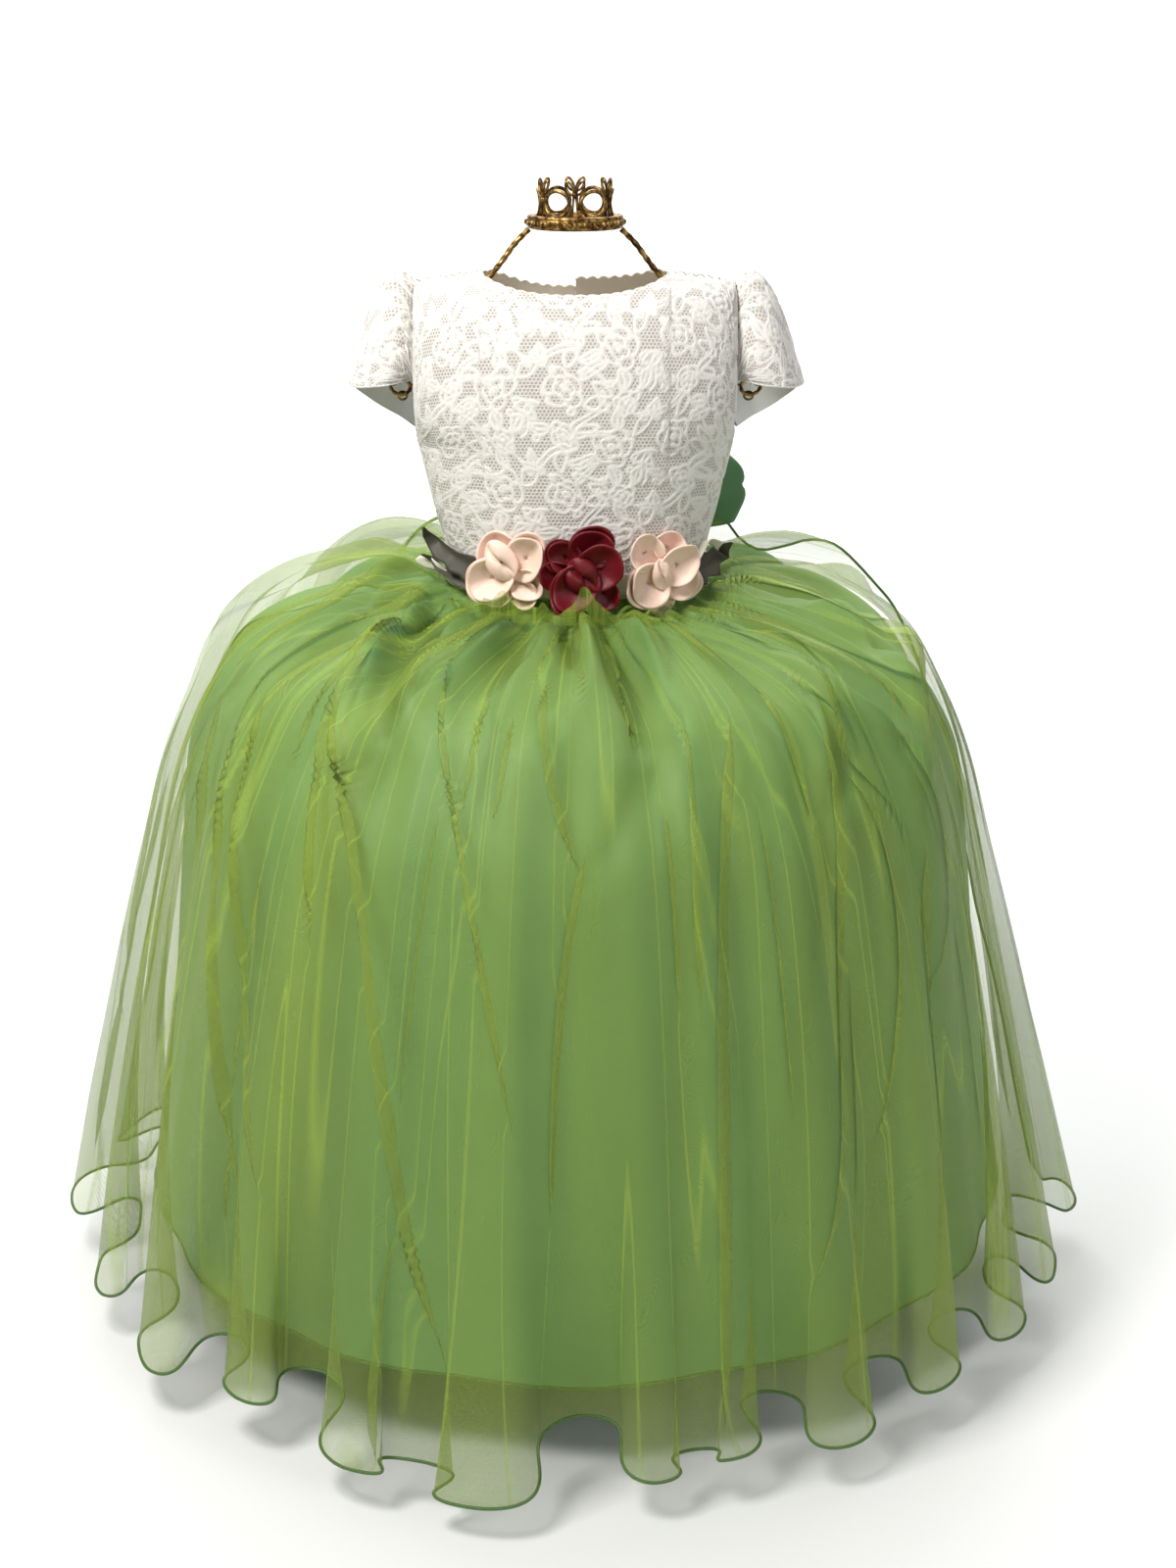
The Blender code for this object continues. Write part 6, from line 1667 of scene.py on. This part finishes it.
def rope(points, radius, pitch=0.0075, strands=0.26, step=0.0014, sides=12):
    """A wire forged like a twisted rope."""
    path, at = spaced_path(points, step)
    rings = tube_points(path, radius, sides, turn=2 * math.pi * at / pitch / 2, strands=strands)
    return rings, tube_faces(len(path), sides, False)


def make_form():
    """The twisted rods, the neck plate with its crown of scrolls, and the old brass of the rest."""
    brass = finish_for("antique brass")
    for name in ("form_stand", "form_waist_ring", "form_chest_frame"):
        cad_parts[name].data.materials.clear()
        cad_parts[name].data.materials.append(brass)
    for side, sign in (("left", -1), ("right", 1)):
        route = [(RING_HALF_WIDTH, RING_Z + 0.0033)] + list(ROD_SIDE)
        route += [(x, float(shoulder_z(x)) - LACE_WALL - SEAM_GAP - WIRE_R - 0.0002) for x in ROD_SHOULDER_XS]
        route += list(ROD_NECK)
        path = [(sign * x, 0.0, z) for x, z in route]
        parts = [rope(path, WIRE_R)]
        share = np.linspace(0.0, 1.0, 60)
        turn = np.radians(200 - 520 * share)
        size = 0.0112 * (1 - 0.70 * share)
        scroll = np.stack((sign * (SCROLL_CENTRE[0] + size * 1.15 * np.cos(turn)), np.zeros(60),
                           SCROLL_CENTRE[1] + size * np.sin(turn)), -1)
        root = np.array([(sign * 0.1203, 0.0, 0.7515)])
        parts.append(rope(np.concatenate((root, scroll)), 0.0017, 0.0045, 0.3, 0.0011, 8))
        for angle in (30, 150, 270):
            centre = np.array((sign * (SCROLL_CENTRE[0] + 0.0085 * math.cos(math.radians(angle))), 0.0012,
                               SCROLL_CENTRE[1] + 0.0078 * math.sin(math.radians(angle))))
            ring_turn = full_turn(24)
            ring = centre + np.stack((0.0036 * np.cos(ring_turn), np.zeros(24),
                                      0.0032 * np.sin(ring_turn)), -1)
            parts.append(wire(ring, 0.0010, 6, True))
        make_piece("twisted_rod_" + side, *joined(parts), brass, "antique_brass", ("form_rod_" + side,))
    make_neck(brass)


def turned_points(profile, columns):
    turn = full_turn(columns)
    radius, height = np.array(profile).T
    return np.stack((radius[:, None] * np.sin(turn), -radius[:, None] * np.cos(turn),
                     height[:, None] * np.ones_like(turn)), -1)


def bead(centre, radius, squash=1.0):
    rows = np.linspace(-1.0, 1.0, 7)
    turn = full_turn(8)
    across = np.sqrt(np.clip(1 - rows**2, 0.02, 1))
    points = np.stack((across[:, None] * np.cos(turn), across[:, None] * np.sin(turn),
                       rows[:, None] * np.ones_like(turn) * squash), -1)
    return np.asarray(centre) + points * radius, capped_faces(7, 8)


def crown_line(azimuth, points):
    """Points given as sideways and up, set upright on the crown's ring at an azimuth."""
    turn = math.radians(azimuth)
    made = []
    for aside, up in points:
        angle = turn + aside / CROWN_R
        made.append((CROWN_R * math.sin(angle), -CROWN_R * math.cos(angle), up))
    return np.array(made)


def make_neck(brass):
    columns = 72
    plate = turned_points(NECK_PLATE, columns)
    rows = len(NECK_PLATE)
    faces = grid_faces(rows, columns, True).tolist()
    last = (rows - 1) * columns
    for k in range(columns):
        after = (k + 1) % columns
        faces.append([last + k, last + after, after, k])
    parts = [(plate, faces)]
    for k in range(BEADS):
        turn = 2 * math.pi * k / BEADS
        centre = (BEAD_RING * math.sin(turn), -BEAD_RING * math.cos(turn), 0.8815)
        parts.append(bead(centre, 0.0019, 1.15))
    for k in range(CROWN_LOOPS):
        loop_at, bud_at = 60.0 * k + 30.0, 60.0 * k
        turn = full_turn(28)
        loop = crown_line(loop_at, [(0.0108 * math.cos(a), 0.8962 + 0.0098 * math.sin(a)) for a in turn])
        parts.append(wire(loop, 0.0015, 8, True))
        parts.append(bead(crown_line(bud_at, [(0.0, 0.9030)])[0], 0.0024))
        for sign in (-1, 1):
            petal = [(sign * (0.0042 + 0.0042 * math.cos(a) * 0.62 + 0.0018 * math.sin(a)),
                      0.9085 + 0.0048 * math.sin(a)) for a in turn]
            parts.append(wire(crown_line(bud_at, petal), 0.0011, 6, True))
            curl = [(sign * (0.0010 + 0.0016 * s), 0.9012 - 0.0150 * s) for s in np.linspace(0, 1, 8)]
            parts.append(wire(crown_line(bud_at, curl), 0.0011, 6))
            inner = np.linspace(0.3, 5.4, 20)
            scroll = [(sign * (0.0046 + 0.0016 * math.cos(a) * (1 - a / 9)), 0.8898 + 0.0018 * math.sin(a))
                      for a in inner]
            parts.append(wire(crown_line(bud_at, scroll), 0.0009, 6))
    make_piece("neck_crown", *joined(parts), brass, "antique_brass", ("form_neck",))


# Stage

def make_stage():
    """Pale floor, soft lights and the camera."""
    setting = bpy.context.scene.dress_stage
    floor_finish, _, shader = new_material("studio floor", 0.9)
    shader.inputs["Base Color"].default_value = (*setting.floor, 1.0)
    shader.inputs["Specular IOR Level"].default_value = 0.1
    steps = np.linspace(0.0, 1.0, 13)
    profile = [(y, 0.0) for y in (-3.0, 0.0, 3.0)]
    profile += [(3.0 + 2.0 * math.sin(s * math.pi / 2), 2.0 - 2.0 * math.cos(s * math.pi / 2))
                for s in steps[1:]]
    profile.append((5.0, 8.0))
    points = [(x, y, z - 0.0002) for y, z in profile for x in (-9.0, 9.0)]
    mesh = bpy.data.meshes.new("floor")
    mesh.from_pydata(points, [], grid_faces(len(profile), 2).tolist())
    mesh.polygons.foreach_set("use_smooth", [True] * len(mesh.polygons))
    mesh.materials.append(floor_finish)
    floor = bpy.data.objects.new("floor", mesh)
    bpy.context.scene.collection.objects.link(floor)
    world = bpy.data.worlds.new("studio")
    bpy.context.scene.world = world
    world.use_nodes = True
    world.node_tree.nodes["Background"].inputs["Color"].default_value = (1.0, 1.0, 1.0, 1.0)
    world.node_tree.nodes["Background"].inputs["Strength"].default_value = setting.sky
    for light in LIGHTS:
        lamp = bpy.data.lights.new(light.name, "AREA")
        lamp.size = light.size
        lamp.energy = light.power * setting.lamps
        lamp.color = light.colour
        holder = bpy.data.objects.new(light.name, lamp)
        holder.location = light.place
        holder.rotation_euler = (Vector(light.aim) - Vector(light.place)).to_track_quat("-Z", "Y").to_euler()
        bpy.context.scene.collection.objects.link(holder)
    lens = bpy.data.cameras.new("camera")
    lens.lens = CAMERA_LENS
    camera = bpy.data.objects.new("camera", lens)
    camera.location = CAMERA_PLACE
    camera.rotation_euler = (math.radians(CAMERA_TILT), 0.0, 0.0)
    bpy.context.scene.collection.objects.link(camera)
    bpy.context.scene.camera = camera
    bpy.context.scene.view_settings.view_transform = "Standard"
    bpy.context.scene.cycles.transparent_max_bounces = 24


# Sidebar and operators

def colour_setting(name, description, default):
    return bpy.props.FloatVectorProperty(name=name, description=description, default=default, subtype="COLOR",
                                         min=0.0, max=1.0)


class DressColours(bpy.types.PropertyGroup):
    """Colours of the dress and its form."""
    lace: colour_setting("Lace", "Threads of the corded lace", (0.82, 0.795, 0.745))
    # Painted shade: a colour much darker than the lining itself, shown in the lace's net holes for the lining
    # in the lace's shadow.
    painted_shade_under_lace: colour_setting("Under the lace", "Lining that shows through the net", (0.42, 0.375, 0.335))
    lining: colour_setting("Lining", "Smooth inner side of the bodice", (0.90, 0.82, 0.70))
    sleeve_lining: colour_setting("Sleeve lining", "Plain cloth inside the sleeves", (0.72, 0.72, 0.71))
    satin: colour_setting("Satin", "Gathered satin skirt", (0.15, 0.34, 0.125))
    tulle: colour_setting("Tulle", "Sheer overskirt", (0.225, 0.315, 0.042))
    hem: colour_setting("Hem", "Rolled edges of the skirts", (0.07, 0.15, 0.035))
    sash: colour_setting("Sash", "Bow at the back", (0.06, 0.17, 0.055))
    ribbon: colour_setting("Ribbon", "Belt and zip tape", (0.82, 0.78, 0.66))
    peach: colour_setting("Peach", "Outer flowers", (0.92, 0.66, 0.54))
    burgundy: colour_setting("Burgundy", "Middle flower", (0.14, 0.003, 0.008))
    leaf: colour_setting("Leaf", "Dark leaves", (0.058, 0.052, 0.036))
    brass: colour_setting("Brass", "Rubbed brass of the form", (0.44, 0.27, 0.08))
    patina: colour_setting("Patina", "Dark brown in the brass's hollows", (0.07, 0.035, 0.012))


class DressFabrics(bpy.types.PropertyGroup):
    """How the cloth behaves."""
    tulle_cover: bpy.props.FloatProperty(name="Tulle cover", description="How much one layer of tulle hides",
                                         default=0.37, min=0.05, max=1.0, subtype="FACTOR")
    cord_height: bpy.props.FloatProperty(name="Cord height", description="How far the lace's cords stand out",
                                         default=0.0009, min=0.0, max=0.003, unit="LENGTH")


class DressStage(bpy.types.PropertyGroup):
    """Floor and light."""
    floor: colour_setting("Floor", "Pale studio floor", (0.82, 0.82, 0.815))
    sky: bpy.props.FloatProperty(name="Sky", description="Strength of the even light", default=0.22, min=0.0)
    lamps: bpy.props.FloatProperty(name="Lamps", description="Scale of the soft lamps", default=1.0, min=0.0)


class DRESS_OT_stage(bpy.types.Operator):
    """Set the floor, the soft lights and the camera"""
    bl_idname = "dress.stage"
    bl_label = "Stage"

    def execute(self, context):
        make_stage()
        return {"FINISHED"}


class DRESS_OT_satin_skirt(bpy.types.Operator):
    """Make the gathered satin skirt"""
    bl_idname = "dress.satin_skirt"
    bl_label = "Satin skirt"

    def execute(self, context):
        make_satin_skirt()
        return {"FINISHED"}


class DRESS_OT_tulle_skirt(bpy.types.Operator):
    """Make the sheer overskirt with its waved hem"""
    bl_idname = "dress.tulle_skirt"
    bl_label = "Tulle overskirt"

    def execute(self, context):
        make_tulle_skirt()
        make_header()
        return {"FINISHED"}


class DRESS_OT_bodice(bpy.types.Operator):
    """Make the lace bodice with its lining"""
    bl_idname = "dress.bodice"
    bl_label = "Bodice"

    def execute(self, context):
        make_bodice()
        return {"FINISHED"}


class DRESS_OT_sleeves(bpy.types.Operator):
    """Make the two gathered cap sleeves"""
    bl_idname = "dress.sleeves"
    bl_label = "Sleeves"

    def execute(self, context):
        make_sleeves()
        return {"FINISHED"}


class DRESS_OT_belt(bpy.types.Operator):
    """Make the ribbon belt with its free ends"""
    bl_idname = "dress.belt"
    bl_label = "Belt"

    def execute(self, context):
        make_belt()
        return {"FINISHED"}


class DRESS_OT_flowers(bpy.types.Operator):
    """Make the three folded satin flowers"""
    bl_idname = "dress.flowers"
    bl_label = "Flowers"

    def execute(self, context):
        make_flowers()
        return {"FINISHED"}


class DRESS_OT_leaves(bpy.types.Operator):
    """Make the dark jagged leaves"""
    bl_idname = "dress.leaves"
    bl_label = "Leaves"

    def execute(self, context):
        make_leaves()
        return {"FINISHED"}


class DRESS_OT_bow(bpy.types.Operator):
    """Make the satin bow at the back"""
    bl_idname = "dress.bow"
    bl_label = "Bow"

    def execute(self, context):
        make_bow()
        return {"FINISHED"}


class DRESS_OT_back_zip(bpy.types.Operator):
    """Make the zip's tape, tab and stitches"""
    bl_idname = "dress.back_zip"
    bl_label = "Back zip"

    def execute(self, context):
        make_zip()
        return {"FINISHED"}


class DRESS_OT_form(bpy.types.Operator):
    """Make the metal dress form's rods, plate and crown"""
    bl_idname = "dress.form"
    bl_label = "Dress form"

    def execute(self, context):
        make_form()
        return {"FINISHED"}


OPERATORS = (DRESS_OT_stage, DRESS_OT_bodice, DRESS_OT_sleeves, DRESS_OT_satin_skirt, DRESS_OT_tulle_skirt,
             DRESS_OT_belt, DRESS_OT_flowers, DRESS_OT_leaves, DRESS_OT_bow, DRESS_OT_back_zip, DRESS_OT_form)


class DRESS_PT_panel(bpy.types.Panel):
    """Sidebar list of the dress's pieces"""
    bl_idname = "DRESS_PT_panel"
    bl_label = "Party dress"
    bl_space_type = "VIEW_3D"
    bl_region_type = "UI"
    bl_category = "Party dress"

    def draw(self, context):
        for group in (context.scene.dress_colours, context.scene.dress_fabrics, context.scene.dress_stage):
            for key in group.__annotations__:
                self.layout.prop(group, key)
        for operator in OPERATORS:
            self.layout.operator(operator.bl_idname)


CLASSES = (DressColours, DressFabrics, DressStage) + OPERATORS + (DRESS_PT_panel,)


def register():
    for made in CLASSES:
        bpy.utils.register_class(made)
    bpy.types.Scene.dress_colours = bpy.props.PointerProperty(type=DressColours)
    bpy.types.Scene.dress_fabrics = bpy.props.PointerProperty(type=DressFabrics)
    bpy.types.Scene.dress_stage = bpy.props.PointerProperty(type=DressStage)


def unregister():
    del bpy.types.Scene.dress_stage
    del bpy.types.Scene.dress_fabrics
    del bpy.types.Scene.dress_colours
    for made in reversed(CLASSES):
        bpy.utils.unregister_class(made)


def main():
    register()
    for operator in OPERATORS:
        group, name = operator.bl_idname.split(".")
        getattr(getattr(bpy.ops, group), name)()
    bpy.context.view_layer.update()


if __name__ == "__main__":
    main()
